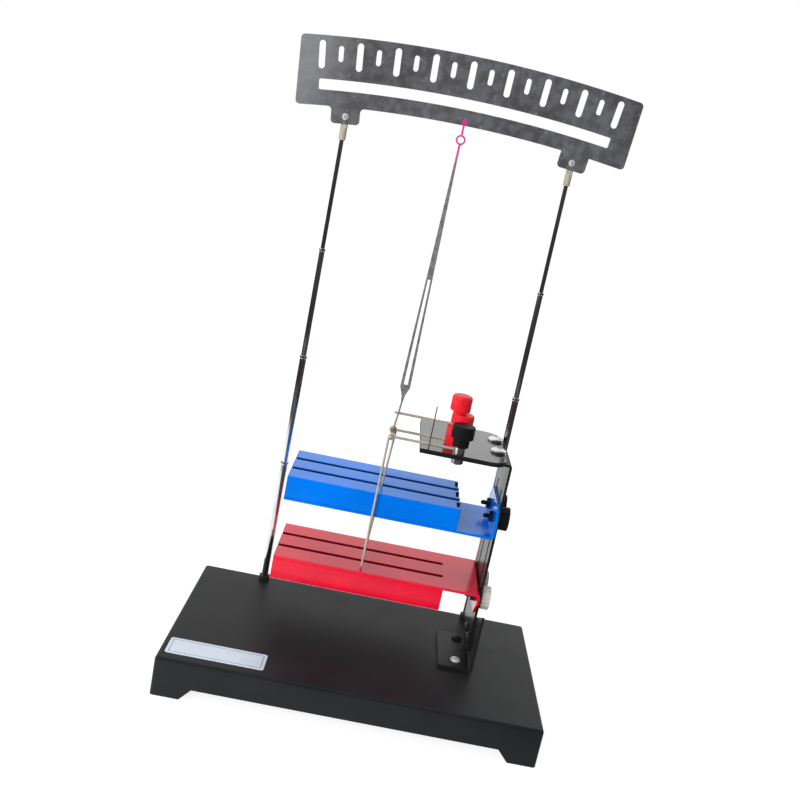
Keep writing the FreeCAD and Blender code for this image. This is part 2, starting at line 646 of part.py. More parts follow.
def build_rod_feet():
    """Sleeve, plugged stud and nut at the foot of each rod."""
    sleeves, studs, nuts = [], [], []
    for side, x in (("left", -rod_spread), ("right", rod_spread)):
        bore = tube_radius + fixed_gap
        sleeve = turned_piece(f"{side}_foot_sleeve", [
            (bore, 0), (sleeve_radius, 0), (sleeve_radius, sleeve_height), (bore, sleeve_height),
        ], x, rod_back, base_height, listed=False)
        sleeves.append(sleeve.body)
        plug = tube_radius - tube_wall - fixed_gap
        tail = base_sheet + rod_nut_height + stud_tail
        stud = turned_piece(f"{side}_foot_stud", [
            (0, -tail), (rod_screw, -tail), (rod_screw, 0), (plug, 0), (plug, plug_height), (0, plug_height),
        ], x, rod_back, base_height, listed=False)
        studs.append(stud.body)
        nuts.append(hex_nut(f"{side}_foot_nut", rod_nut_width, rod_nut_height, rod_screw + fixed_gap,
                            x, rod_back, base_height - base_sheet - rod_nut_height))
    group("rod_foot_sleeves", sleeves)
    group("rod_foot_studs", studs)
    group("rod_foot_nuts", nuts)


def build_rod(side, x):
    """Three tubes, each sliding in the one below, and the thin rod at the top."""
    low = base_height
    for stage in range(3):
        outer = stage_radii[stage]
        inner = outer - tube_wall
        ring = outer + tube_collar
        high = stage_tops[stage]
        turned_piece(f"{side}_rod_stage_{stage + 1}", [
            (inner, low), (outer, low), (outer, high - collar_height), (ring, high - collar_height),
            (ring, high), (inner, high),
        ], x, rod_back)
        low = high - stage_overlap
    outer = stage_radii[3]
    high = stage_tops[3] + fitting_socket
    turned_piece(f"{side}_rod_stage_4", [(0, low), (outer, low), (outer, high), (0, high)], x, rod_back)


def build_end_fittings():
    """A brass fitting on each thin rod, flattened front and back for the scale plate's tab."""
    fittings = []
    for side, x in (("left", -rod_spread), ("right", rod_spread)):
        bore = stage_radii[3] + fixed_gap
        fitting = turned_piece(f"{side}_end_fitting", [
            (bore, 0), (fitting_radius, 0), (fitting_radius, fitting_height), (0, fitting_height),
            (0, fitting_socket), (bore, fitting_socket),
        ], x, rod_back, stage_tops[3], listed=False)
        shoulder = fitting_socket + fitting_step
        for near, far in ((fitting_flat, fitting_radius + PAST), (-fitting_radius - PAST, -fitting_flat)):
            fitting.cut(rectangle(fitting.sketch("YZ_Plane"), near, far, shoulder, fitting_height + PAST))
        hole = circle(fitting.sketch("XZ_Plane"), 0, tab_screw_z - stage_tops[3],
                      scale_screw + running_gap)
        fitting.cut(hole)
        fittings.append(fitting.body)
    group("rod_end_fittings", fittings)


def across_sheet(edge):
    """Pick the edges that run through the scale plate's sheet."""
    return len(edge.Vertexes) == 2 and abs(edge.Length - scale_thick.number) < 1e-6


def arc_place(edge):
    """Distance from the scale plate's arc centre to an edge through its sheet."""
    return math.hypot(edge.Vertexes[0].X, edge.Vertexes[0].Z)


def arc_height(radius, across):
    """Height of a flat arc above its centre, this far across from its middle."""
    return radius - across * across / (2 * radius)


def build_scale_plate():
    """A sheet sector with a row of slots over a long window slot, hung by two tabs."""
    face = rod_back - fitting_flat
    lower_edge = scale_radius - scale_below
    upper_edge = scale_radius + scale_above
    plate = Piece("scale_plate", 0, face, scale_centre_z)
    section = rectangle(plate.sketch("YZ_Plane"), -scale_thick, 0, lower_edge, upper_edge)
    plate.turn(section, "H_Axis", 2 * (scale_top_half + scale_blank) / scale_radius * DEGREES)
    low = arc_height(lower_edge, scale_bottom_half)
    high = arc_height(upper_edge, scale_top_half)
    rise = high - low
    outside = scale_top_half + 3 * scale_blank
    for side in (1, -1):
        end = [(side * (scale_bottom_half - scale_flare), low - rise),
               (side * (scale_top_half + scale_flare), high + rise),
               (side * outside, high + rise), (side * outside, low - rise)]
        plate.cut(polygon(plate.sketch("XZ_Plane"), end))
    screw = tab_screw_z - scale_centre_z
    tab_turn = rod_spread / screw * DEGREES
    for turn in (tab_turn, -tab_turn):
        tab = plate.sketch("XZ_Plane", turn=turn)
        plate.pad(rectangle(tab, -tab_half_width, tab_half_width, lower_edge - tab_drop, lower_edge + PAST),
                  scale_thick)
    plate.soften(scale_corner, across_sheet)
    window = rectangle(plate.sketch("YZ_Plane"), -scale_thick - PAST, PAST,
                       window_row - window_height / 2, window_row + window_height / 2)
    plate.turn(window, "H_Axis", 2 * window_half_angle, removes=True)
    plate.soften(window_corner, lambda edge: across_sheet(edge) and
                 abs(arc_place(edge) - window_row.number) < window_height.number)
    rows = ((SCALE_LONG_SLOTS, long_slot, long_slot_width, scale_radius),
            (SCALE_SHORT_SLOTS, short_slot, short_slot_width, scale_radius + short_slot_lift))
    for count, length, width, row in rows:
        reach = scale_pitch * (count - 1)
        slot = plate.cut(upright_slot(plate.sketch("XZ_Plane", turn=reach / 2), 0,
                                      row - length / 2, row + length / 2, width))
        plate.repeat(slot, "Y_Axis", count, reach)
    holes = plate.sketch("XZ_Plane")
    for x in (-rod_spread, rod_spread):
        circle(holes, x, screw, scale_screw + running_gap)
    plate.cut(holes)

    screws, nuts = [], []
    grip = scale_thick + 2 * fitting_flat + scale_nut_height
    for side, x in (("left", -rod_spread), ("right", rod_spread)):
        screws.append(headed_screw(f"{side}_scale_screw", scale_screw, grip, scale_head, scale_head_height,
                                   x, face - scale_thick, tab_screw_z, FACING_FRONT, listed=False))
        nuts.append(hex_nut(f"{side}_scale_nut", scale_nut_width, scale_nut_height,
                            scale_screw + fixed_gap, x, rod_back + fitting_flat, tab_screw_z, FACING_BACK))
    group("scale_screws", screws)
    group("scale_nuts", nuts)


def build_bracket():
    """The angle bracket on the base, its screws, and the bolts that hold the upright to its web."""
    bracket = Piece("foot_bracket")
    web_front_top = base_height + web_front_rise
    angle = [(bracket_left, base_height), (bracket_right, base_height), (bracket_right, web_front_top),
             (upright_right, web_front_top), (upright_right, foot_top), (bracket_left, foot_top)]
    bracket.pad(polygon(bracket.sketch("XZ_Plane", -bracket_back), angle), bracket_depth)
    fold(bracket, bracket_right, base_height, upright_right, foot_top, bracket_sheet)
    slope = [(bracket_front, web_front_top), (bracket_back, base_height + web_back_rise),
             (bracket_back, web_front_top + PAST), (bracket_front, web_front_top + PAST)]
    bracket.cut(polygon(bracket.sketch("YZ_Plane"), slope))
    holes = bracket.sketch("XY_Plane")
    for x, y in (front_screw_place, back_screw_place):
        circle(holes, x, y, foot_screw + hole_gap)
    bracket.cut(holes)
    bolts = bracket.sketch("YZ_Plane")
    for y in bolt_rows:
        circle(bolts, y, bolt_height, foot_screw + hole_gap)
    bracket.cut(bolts)

    length = bracket_sheet + base_sheet + nut_height + stud_tail
    nuts = []
    for name, (x, y) in (("bracket_front_screw", front_screw_place),
                         ("bracket_rear_screw", back_screw_place)):
        headed_screw(name, foot_screw, length, foot_head, foot_head_height, x, y, foot_top)
        nuts.append(hex_nut(f"{name}_nut", nut_width, nut_height, foot_screw + fixed_gap,
                            x, y, base_height - base_sheet - nut_height))
    members = []
    reach = 2 * bracket_sheet + nut_height + stud_tail
    for index, y in enumerate(bolt_rows):
        members.append(headed_screw(f"bracket_bolt_{index}", foot_screw, reach, foot_head,
                                    foot_head_height, upright_left, y, bolt_height, FACING_LEFT,
                                    listed=False))
        nuts.append(hex_nut(f"bracket_bolt_nut_{index}", nut_width, nut_height, foot_screw + fixed_gap,
                            bracket_right, y, bolt_height, FACING_RIGHT))
    group("bracket_bolts", members)
    group("bracket_nuts", nuts)


def build_upright():
    """The upright strip with its two clamp slots and the flange under the panel."""
    flange_left = upright_right - flange_reach
    flange_low = upright_top - bracket_sheet
    upright = Piece("upright")
    strip = [(upright_left, upright_bottom), (upright_right, upright_bottom), (upright_right, upright_top),
             (flange_left, upright_top), (flange_left, flange_low), (upright_left, flange_low)]
    upright.pad(polygon(upright.sketch("XZ_Plane", -upright_back), strip), upright_width)
    fold(upright, upright_right, upright_top, upright_left, flange_low, bracket_sheet)
    slots = upright.sketch("YZ_Plane")
    slot_bottom = red_ceiling - red_clamp - slot_below
    slot_top = blue_floor + blue_clamp + slot_above
    for y in clamp_rows:
        upright_slot(slots, y, slot_bottom, slot_top, 2 * (clamp_screw + hole_gap))
    upright.cut(slots)
    bolts = upright.sketch("YZ_Plane")
    for y in bolt_rows:
        circle(bolts, y, bolt_height, foot_screw + hole_gap)
    upright.cut(bolts)
    holes = upright.sketch("XY_Plane")
    for y in panel_screw_rows:
        circle(holes, panel_screw_x, y, foot_screw + hole_gap)
    upright.cut(holes)


def build_panel():
    """The black panel, the screws that hold it to the flange, and the thin pin at its front."""
    panel = Piece("terminal_panel", z=upright_top)
    panel.pad(rectangle(panel.sketch("XY_Plane"), panel_left, panel_right, panel_front,
                        upright_back + panel_behind), panel_thick)
    panel.soften(panel_corner, lambda edge: is_vertical(edge) and edge.Vertexes[0].X > panel_left.number + 1)
    holes = panel.sketch("XY_Plane")
    for y in panel_screw_rows:
        circle(holes, panel_screw_x, y, foot_screw + hole_gap)
    circle(holes, black_post_x, front_arm_y, stud_radius + running_gap)
    circle(holes, red_post_x, back_arm_y, stud_radius + running_gap)
    pin_x, pin_y = panel_left + pin_right, panel_front + pin_behind
    circle(holes, pin_x, pin_y, pin_radius + fixed_gap)
    panel.cut(holes)

    screws, nuts = [], []
    length = panel_thick + bracket_sheet + nut_height + stud_tail
    for index, y in enumerate(panel_screw_rows):
        screws.append(headed_screw(f"panel_screw_{index}", foot_screw, length, dome_radius, dome_height,
                                   panel_screw_x, y, panel_top, listed=False, dome=0.9))
        nuts.append(hex_nut(f"panel_nut_{index}", nut_width, nut_height, foot_screw + fixed_gap,
                            panel_screw_x, y, upright_top - bracket_sheet - nut_height))
    group("panel_screws", screws)
    group("panel_nuts", nuts)
    length = panel_thick + pin_height
    turned_piece("steel_pin", [(0, 0), (pin_radius, 0), (pin_radius, length), (0, length)],
                 pin_x, pin_y, upright_top)


def drilled_collar(label, radius, height, x, y):
    """A round collar on a post's stud, drilled from the left for the arm that ends in it."""
    bore = stud_radius + fixed_gap
    collar = turned_piece(label, [(bore, 0), (radius, 0), (radius, height), (bore, height)], x, y, panel_top)
    hole = circle(collar.sketch("YZ_Plane"), 0, swing_z - panel_top, arm_radius + fixed_gap)
    collar.cut(hole, radius + PAST)


def post_stud(label, x, y, knob_foot):
    """A post's stud, from below its nut up into its knob."""
    low = upright_top - post_nut_height - stud_tail
    length = knob_foot + stud_in_knob - low
    turned_piece(label, [(0, 0), (stud_radius, 0), (stud_radius, length), (0, length)], x, y, low)


def knob_outline(steps):
    """The outline of a knob bored from below, from (radius, height of that step) pairs."""
    bore = stud_radius + running_gap
    depth = stud_in_knob + stud_room
    outline = [(bore, 0)]
    level = as_size(0)
    for radius, height in steps:
        outline.append((radius, level))
        level = level + height
        outline.append((radius, level))
    return outline + [(0, level), (0, depth), (bore, depth)]


def flute(piece, radius, low, high, count):
    """Cut upright grip flutes into the rim of a turned piece."""
    profile = circle(piece.sketch("XY_Plane", low), radius + grip_outside, 0, grip_radius)
    pocket = piece.cut(profile, high - low, backwards=True)
    piece.repeat(pocket, "Z_Axis", count)


def build_posts():
    """The black post and the red post, each a stud with what it clamps, a knob and a nut."""
    drilled_collar("black_post_collar", collar_radius, post_collar_height, black_post_x, front_arm_y)
    black_foot = panel_top + post_collar_height + knob_lift
    post_stud("black_post_stud", black_post_x, front_arm_y, black_foot)
    black = turned_piece("black_post_knob", knob_outline([
        (black_knob_neck, black_neck_height),
        (black_knob_radius, black_knob_height - black_neck_height),
    ]), black_post_x, front_arm_y, black_foot)
    flute(black, black_knob_radius, black_neck_height, black_knob_height, POST_GRIP_COUNT)

    drilled_collar("red_post_base", red_base_radius, red_base_height, red_post_x, back_arm_y)
    red_foot = top_arm_z + arm_radius + knob_lift
    post_stud("red_post_stud", red_post_x, back_arm_y, red_foot)
    cap_foot = red_flange_height + red_neck_height
    red = turned_piece("red_post_knob", knob_outline([
        (red_neck_radius, cap_foot), (red_cap_radius, red_cap_height),
    ]), red_post_x, back_arm_y, red_foot)
    flange = circle(red.sketch("XY_Plane"), red_flange_aside, 0, red_flange_radius)
    red.pad(circle(flange, 0, 0, stud_radius + running_gap), red_flange_height)
    flute(red, red_cap_radius, cap_foot, cap_foot + red_cap_height, POST_GRIP_COUNT)

    nuts = []
    for index, (x, y) in enumerate(((black_post_x, front_arm_y), (red_post_x, back_arm_y))):
        nuts.append(hex_nut(f"post_nut_{index}", post_nut_width, post_nut_height, stud_radius + fixed_gap,
                            x, y, upright_top - post_nut_height))
    group("post_nuts", nuts)


def ring(label, radius, x, y, z, rotation=None):
    """A closed eye of arm wire."""
    eye = doc.addObject("Part::Torus", label)
    eye.setExpression("Radius1", radius.text)
    eye.setExpression("Radius2", arm_radius.text)
    place(eye, x, y, z, rotation)
    return eye


def wire_along_x(label, left, right, y, z):
    """A straight run of arm wire from left to right."""
    run = doc.addObject("Part::Cylinder", label)
    run.setExpression("Radius", arm_radius.text)
    run.setExpression("Height", (right - left).text)
    place(run, left, y, z, FACING_RIGHT)
    return run


def build_arm(label, eye, run):
    """An arm: a straight wire with an eye at one end."""
    arm = doc.addObject("Part::Fuse", label)
    arm.Label = label
    arm.Base = eye
    arm.Tool = run
    pieces.append(arm)


def build_arms():
    """Two arms that carry the swing axle in their eyes, and the top arm on the red post."""
    eye_radius = wire_radius + running_gap + arm_radius
    for label, y, post_x in (("front_arm", front_arm_y, black_post_x), ("back_arm", back_arm_y, red_post_x)):
        eye = ring(f"{label}_eye", eye_radius, swing_x, y, swing_z, FACING_FRONT)
        start = swing_x + eye_radius + eye_weld
        run = wire_along_x(f"{label}_run", start, post_x - stud_radius - hole_gap, y, swing_z)
        build_arm(label, eye, run)
    eye_radius = stud_radius + running_gap + arm_radius
    eye = ring("top_arm_eye", eye_radius, red_post_x, back_arm_y, top_arm_z)
    end = red_post_x - eye_radius - eye_weld
    run = wire_along_x("top_arm_run", swing_x - top_arm_past, end, back_arm_y, top_arm_z)
    build_arm("top_arm", eye, run)


def rounded_path(points, radii):
    """A wire through the points, its inner points replaced by tangent arcs of the given radii."""
    edges = []
    start = points[0]
    for index in range(1, len(points) - 1):
        before, corner, after = points[index - 1], points[index], points[index + 1]
        inward = (before - corner).normalize()
        outward = (after - corner).normalize()
        half_turn = inward.getAngle(outward) / 2
        reach = radii[index - 1] / math.tan(half_turn)
        first = corner + inward * reach
        last = corner + outward * reach
        bisector = (inward + outward).normalize()
        centre = corner + bisector * (radii[index - 1] / math.sin(half_turn))
        middle = centre - bisector * radii[index - 1]
        edges.append(Part.LineSegment(start, first).toShape())
        edges.append(Part.Arc(first, middle, last).toShape())
        start = last
    edges.append(Part.LineSegment(start, points[-1]).toShape())
    return Part.Wire(edges)


def build_conductor():
    """The hanging wire: two legs and a level run, its ends turned in through the arms' eyes."""
    axis_x, axis_z = swing_x.number, swing_z.number
    low = (red_ceiling + wire_lift).number
    front = front_arm_y.number - leg_beside_arm.number
    back = back_arm_y.number + leg_beside_arm.number
    front_top = axis_x - leg_crank.number
    back_top = axis_x + leg_crank.number
    front_foot = front_top - front_leg_lean.number
    back_foot = back_top - back_leg_lean.number
    inset = sleeve_beside_arm.number + wire_in_sleeve.number
    points = [FreeCAD.Vector(*point) for point in (
        (axis_x, back_arm_y.number - inset, axis_z),
        (axis_x, back, axis_z),
        (back_top, back, axis_z),
        (back_foot, back, low),
        (front_foot, front, low),
        (front_top, front, axis_z),
        (axis_x, front, axis_z),
        (axis_x, front_arm_y.number + inset, axis_z),
    )]
    bend, corner = wire_bend.number, wire_corner.number
    path = rounded_path(points, [bend, bend, corner, corner, bend, bend])
    ring_face = Part.Wire(Part.Circle(points[0], FreeCAD.Vector(0, 1, 0), wire_radius.number).toShape())
    conductor = doc.addObject("Part::Feature", "conductor")
    conductor.Label = "conductor"
    conductor.Shape = path.makePipeShell([ring_face], True, False)
    conductor.Placement = FreeCAD.Placement()
    pieces.append(conductor)


def build_pendulum_head():
    """The insulating axle sleeve, the stem on it and the pointer blade."""
    near = front_arm_y + sleeve_beside_arm
    length = back_arm_y - sleeve_beside_arm - near
    bore = wire_radius + fixed_gap
    depth = wire_in_sleeve + wire_room
    sleeve = turned_piece("axle_sleeve", [
        (bore, 0), (sleeve_hub, 0), (sleeve_hub, length), (bore, length), (bore, length - depth),
        (0, length - depth), (0, depth), (bore, depth),
    ], swing_x, near + length, swing_z, FACING_FRONT)

    pointer_y = back_arm_y - pointer_ahead
    run_x, run_z = blade_foot_right.number, blade_foot_rise.number
    stem_turn = math.degrees(math.atan2(run_x, run_z))
    stem_rotation = FreeCAD.Rotation(FreeCAD.Vector(0, 1, 0), stem_turn)
    stem = Piece("pointer_stem", swing_x, pointer_y, swing_z, stem_rotation)
    stem_length = as_size(math.hypot(run_x, run_z))
    foot = circle(stem.sketch("XY_Plane", sleeve_hub), 0, 0, stem_radius)
    stem.pad(foot, stem_length - sleeve_hub - stem_gap)

    blade_rotation = FreeCAD.Rotation(FreeCAD.Vector(0, 1, 0), blade_lean.number)
    blade = Piece("pointer_blade", swing_x + blade_foot_right, pointer_y, swing_z + blade_foot_rise,
                  blade_rotation)
    ring_at = blade_length - ring_below_tip
    ring_foot = ring_at - ring_radius + ring_sink
    tip_foot = ring_at + ring_radius - ring_sink
    blade_waist_at = window_foot + window_length + waist_past_window
    half = [(blade_neck, 0), (blade_throat, throat_rise), (blade_half_width, blade_shoulder),
            (blade_waist, blade_waist_at), (blade_neck, ring_foot), (blade_neck, tip_foot),
            (blade_neck, blade_length - tip_head), (tip_width, blade_length - tip_shoulder)]
    outline = half + [(as_size(0), blade_length)] + [(-x, z) for x, z in reversed(half)]
    blade.pad(polygon(blade.sketch("XZ_Plane", -blade_thick / 2), outline), blade_thick)
    blade.pad(circle(blade.sketch("XZ_Plane", -blade_thick / 2), 0, ring_at, ring_radius), blade_thick)
    window_top = window_foot + window_length
    opening = [(window_low_half, window_foot), (window_high_half, window_top),
               (-window_high_half, window_top), (-window_low_half, window_foot)]
    blade.cut(polygon(blade.sketch("XZ_Plane"), opening))
    blade.cut(circle(blade.sketch("XZ_Plane"), 0, ring_at, ring_bore))


def build_unit(colour, datum, up, leaf, clamp):
    """A magnet unit: the comb carrier's outer face is at the datum, its bars and leaf go up or down."""
    leaf_left = upright_left - carrier_sheet
    carrier = Piece(f"{colour}_carrier", z=datum)
    section = [(bar_left, 0), (upright_left, 0), (upright_left, up * leaf), (leaf_left, up * leaf),
               (leaf_left, up * carrier_sheet), (bar_left, up * carrier_sheet)]
    carrier.pad(polygon(carrier.sketch("XZ_Plane", -bar_back), section), bar_back - bar_front)
    fold(carrier, upright_left, 0, leaf_left, up * carrier_sheet, carrier_sheet)
    grooves = carrier.sketch("XY_Plane")
    for index in (1, 2):
        far = bar_front + index * (bar_width + bar_gap)
        rectangle(grooves, bar_left - PAST, bar_right, far - bar_gap, far)
    carrier.cut(grooves)
    edge = up * leaf
    shoulder = up * (leaf - leaf_cut)
    for near, far in ((bar_front, bar_front + leaf_cut), (bar_back, bar_back - leaf_cut)):
        carrier.cut(polygon(carrier.sketch("YZ_Plane"), [(near, shoulder), (near, edge), (far, edge)]))
    holes = carrier.sketch("YZ_Plane")
    for y in clamp_rows:
        circle(holes, y, up * clamp, clamp_screw + hole_gap)
    carrier.cut(holes)

    for index, name in enumerate(("front", "middle", "rear")):
        bar = Piece(f"{colour}_bar_{name}", z=datum)
        front = bar_front + index * (bar_width + bar_gap)
        face = bar.sketch("XY_Plane", up * carrier_sheet)
        bar.pad(rectangle(face, bar_left, bar_right, front, front + bar_width), bar_height, backwards=up < 0)
        bar.soften(bar_edge, lambda edge: True)
        middle = front + bar_width / 2
        notch = bar.sketch("XY_Plane", up * (carrier_sheet + bar_height))
        rectangle(notch, bar_right - notch_length, bar_right + PAST,
                  middle - notch_width / 2, middle + notch_width / 2)
        bar.cut(notch, notch_depth, backwards=up < 0)

    nuts = []
    height = datum + up * clamp
    for name, y in zip(("front", "rear"), clamp_rows):
        nuts.append(hex_nut(f"{colour}_{name}_clamp_nut", clamp_nut_width, clamp_nut_height,
                            clamp_screw + running_gap, leaf_left, y, height, FACING_LEFT))
        reach = clamp_knob_lift + bracket_sheet + carrier_sheet + clamp_nut_height + clamp_tail
        turned_piece(f"{colour}_{name}_screw", [
            (0, -reach), (clamp_screw, -reach), (clamp_screw, clamp_socket), (0, clamp_socket),
        ], upright_right + clamp_knob_lift, y, height, FACING_RIGHT)
        bore = clamp_screw + fixed_gap
        knob = turned_piece(f"{colour}_{name}_knob", [
            (bore, 0), (clamp_hub, 0), (clamp_hub, clamp_hub_height), (clamp_knob_radius, clamp_hub_height),
            (clamp_knob_radius, clamp_knob_height), (0, clamp_knob_height), (0, clamp_socket),
            (bore, clamp_socket),
        ], upright_right + clamp_knob_lift, y, height, FACING_RIGHT)
        flute(knob, clamp_knob_radius, clamp_hub_height, clamp_knob_height, GRIP_COUNT)
    group(f"{colour}_clamp_nuts", nuts)


def export():
    """Check every object and write each sub-part under its own name."""
    doc.recompute()
    for thing in doc.Objects:
        if "Invalid" in thing.State or "Error" in thing.State:
            raise RuntimeError(f"{thing.Label}: {thing.State}")
    os.makedirs("parts", exist_ok=True)
    for piece in pieces:
        if piece.Shape.isNull() or not piece.Shape.isValid():
            raise RuntimeError(f"{piece.Label}: no valid shape")
        piece.Shape.exportStep(f"parts/{piece.Label}.step")


build_base()
build_rod_feet()
build_rod("left", -rod_spread)
build_rod("right", rod_spread)
build_end_fittings()
build_scale_plate()
build_bracket()
build_upright()
build_panel()
build_posts()
build_arms()
build_conductor()
build_pendulum_head()
build_unit("blue", blue_floor, 1, blue_leaf, blue_clamp)
build_unit("red", red_ceiling, -1, red_leaf, red_clamp)
export()
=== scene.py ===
import json
import logging
import math
from collections.abc import Sequence
from dataclasses import dataclass, replace
from enum import Enum

import bmesh
import bpy
from mathutils import Matrix, Quaternion, Vector


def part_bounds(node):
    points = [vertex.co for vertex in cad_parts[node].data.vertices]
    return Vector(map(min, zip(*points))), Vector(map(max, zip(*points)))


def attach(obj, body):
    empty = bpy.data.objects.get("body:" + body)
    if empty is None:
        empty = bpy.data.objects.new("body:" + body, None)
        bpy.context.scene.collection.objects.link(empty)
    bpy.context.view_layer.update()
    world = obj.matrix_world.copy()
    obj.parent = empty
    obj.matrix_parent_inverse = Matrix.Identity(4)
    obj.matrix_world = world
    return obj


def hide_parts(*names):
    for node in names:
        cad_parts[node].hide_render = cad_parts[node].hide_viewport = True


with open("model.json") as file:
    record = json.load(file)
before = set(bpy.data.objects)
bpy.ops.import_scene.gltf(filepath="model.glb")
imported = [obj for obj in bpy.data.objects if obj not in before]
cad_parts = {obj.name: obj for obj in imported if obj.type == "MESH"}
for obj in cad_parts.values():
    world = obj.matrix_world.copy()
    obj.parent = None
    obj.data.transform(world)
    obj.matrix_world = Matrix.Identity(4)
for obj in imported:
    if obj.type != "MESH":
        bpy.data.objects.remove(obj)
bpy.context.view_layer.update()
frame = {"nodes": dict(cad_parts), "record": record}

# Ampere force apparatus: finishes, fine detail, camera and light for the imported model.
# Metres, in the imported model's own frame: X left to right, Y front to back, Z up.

log = logging.getLogger("apparatus")

MM = 0.001
TURN = 2 * math.pi
WELD = 1e-7
ROUND_STEPS = 64
DISC_STEPS = 96
RIM_STEPS = 48
CORE_STEPS = 32
DOME_STEPS = 9
THREAD_STEPS = 24

# A drawn thread: its core and its chamfer against the radius, the ridge's root against the core,
# the ridge's width against the pitch, and the turns that are left plain.
THREAD_CORE = 0.86
THREAD_CHAMFER = 0.35
THREAD_ROOT = 0.8
THREAD_WIDTH = 0.9
PLAIN_TURNS = 1.2

SHARP = math.radians(34)
UP = Vector((0, 0, 1))
RIGHT = Vector((1, 0, 0))
LEFT = Vector((-1, 0, 0))
FRONT = Vector((0, -1, 0))
Pair = tuple[float, float]
Triple = tuple[float, float, float]
Colour = Triple
Outline = Sequence[Pair]
Corners = tuple[Triple, ...]
BODY_OF = {node: body for body, nodes in frame["record"]["behaviour"]["bodies"].items() for node in nodes}


def part_box(node: str) -> tuple[Vector, Vector]:
    """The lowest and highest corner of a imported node, in metres."""
    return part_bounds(node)


def facing(direction: Vector, place: Vector) -> Matrix:
    """The placement at a point of a shape that is made along +Z, with its top turned to a direction."""
    return Matrix.Translation(place) @ UP.rotation_difference(direction).to_matrix().to_4x4()


def scaled(colour: Colour, share: float, least: float = 0.0) -> Colour:
    """A colour with each part scaled and lifted."""
    return tuple(share * part + least for part in colour)


class Wire:
    """A shader value that takes part in ordinary arithmetic."""

    def __init__(self, tree: "Tree", socket: bpy.types.NodeSocket) -> None:
        """Wrap an output socket of one of the tree's nodes."""
        self.tree = tree
        self.socket = socket

    def __add__(self, other: "Wire | float") -> "Wire":
        """The sum."""
        return self.tree.math("ADD", self, other)

    def __sub__(self, other: "Wire | float") -> "Wire":
        """The difference."""
        return self.tree.math("SUBTRACT", self, other)

    def __rsub__(self, other: float) -> "Wire":
        """The difference from a number."""
        return self.tree.math("SUBTRACT", other, self)

    def __mul__(self, other: "Wire | float") -> "Wire":
        """The product."""
        return self.tree.math("MULTIPLY", self, other)

    __radd__ = __add__
    __rmul__ = __mul__

    def least(self, other: "Wire | float") -> "Wire":
        """The smaller of two values."""
        return self.tree.math("MINIMUM", self, other)

    def most(self, other: "Wire | float") -> "Wire":
        """The larger of two values."""
        return self.tree.math("MAXIMUM", self, other)


@dataclass(frozen=True)
class Pattern:
    """A noise pattern, and the band of its values that is spread from 0 to 1.

    Args:
        scale: features per metre.
        detail: octaves of finer pattern.
        low: value that becomes 0.
        high: value that becomes 1.
        stretch: factor of the coordinates along each axis, below 1 to draw the pattern out.
        shift: distance by which the pattern is moved, so that two patterns differ.
    """

    scale: float
    detail: float = 3.0
    low: float = 0.35
    high: float = 0.65
    stretch: Triple = (1.0, 1.0, 1.0)
    shift: float = 0.0


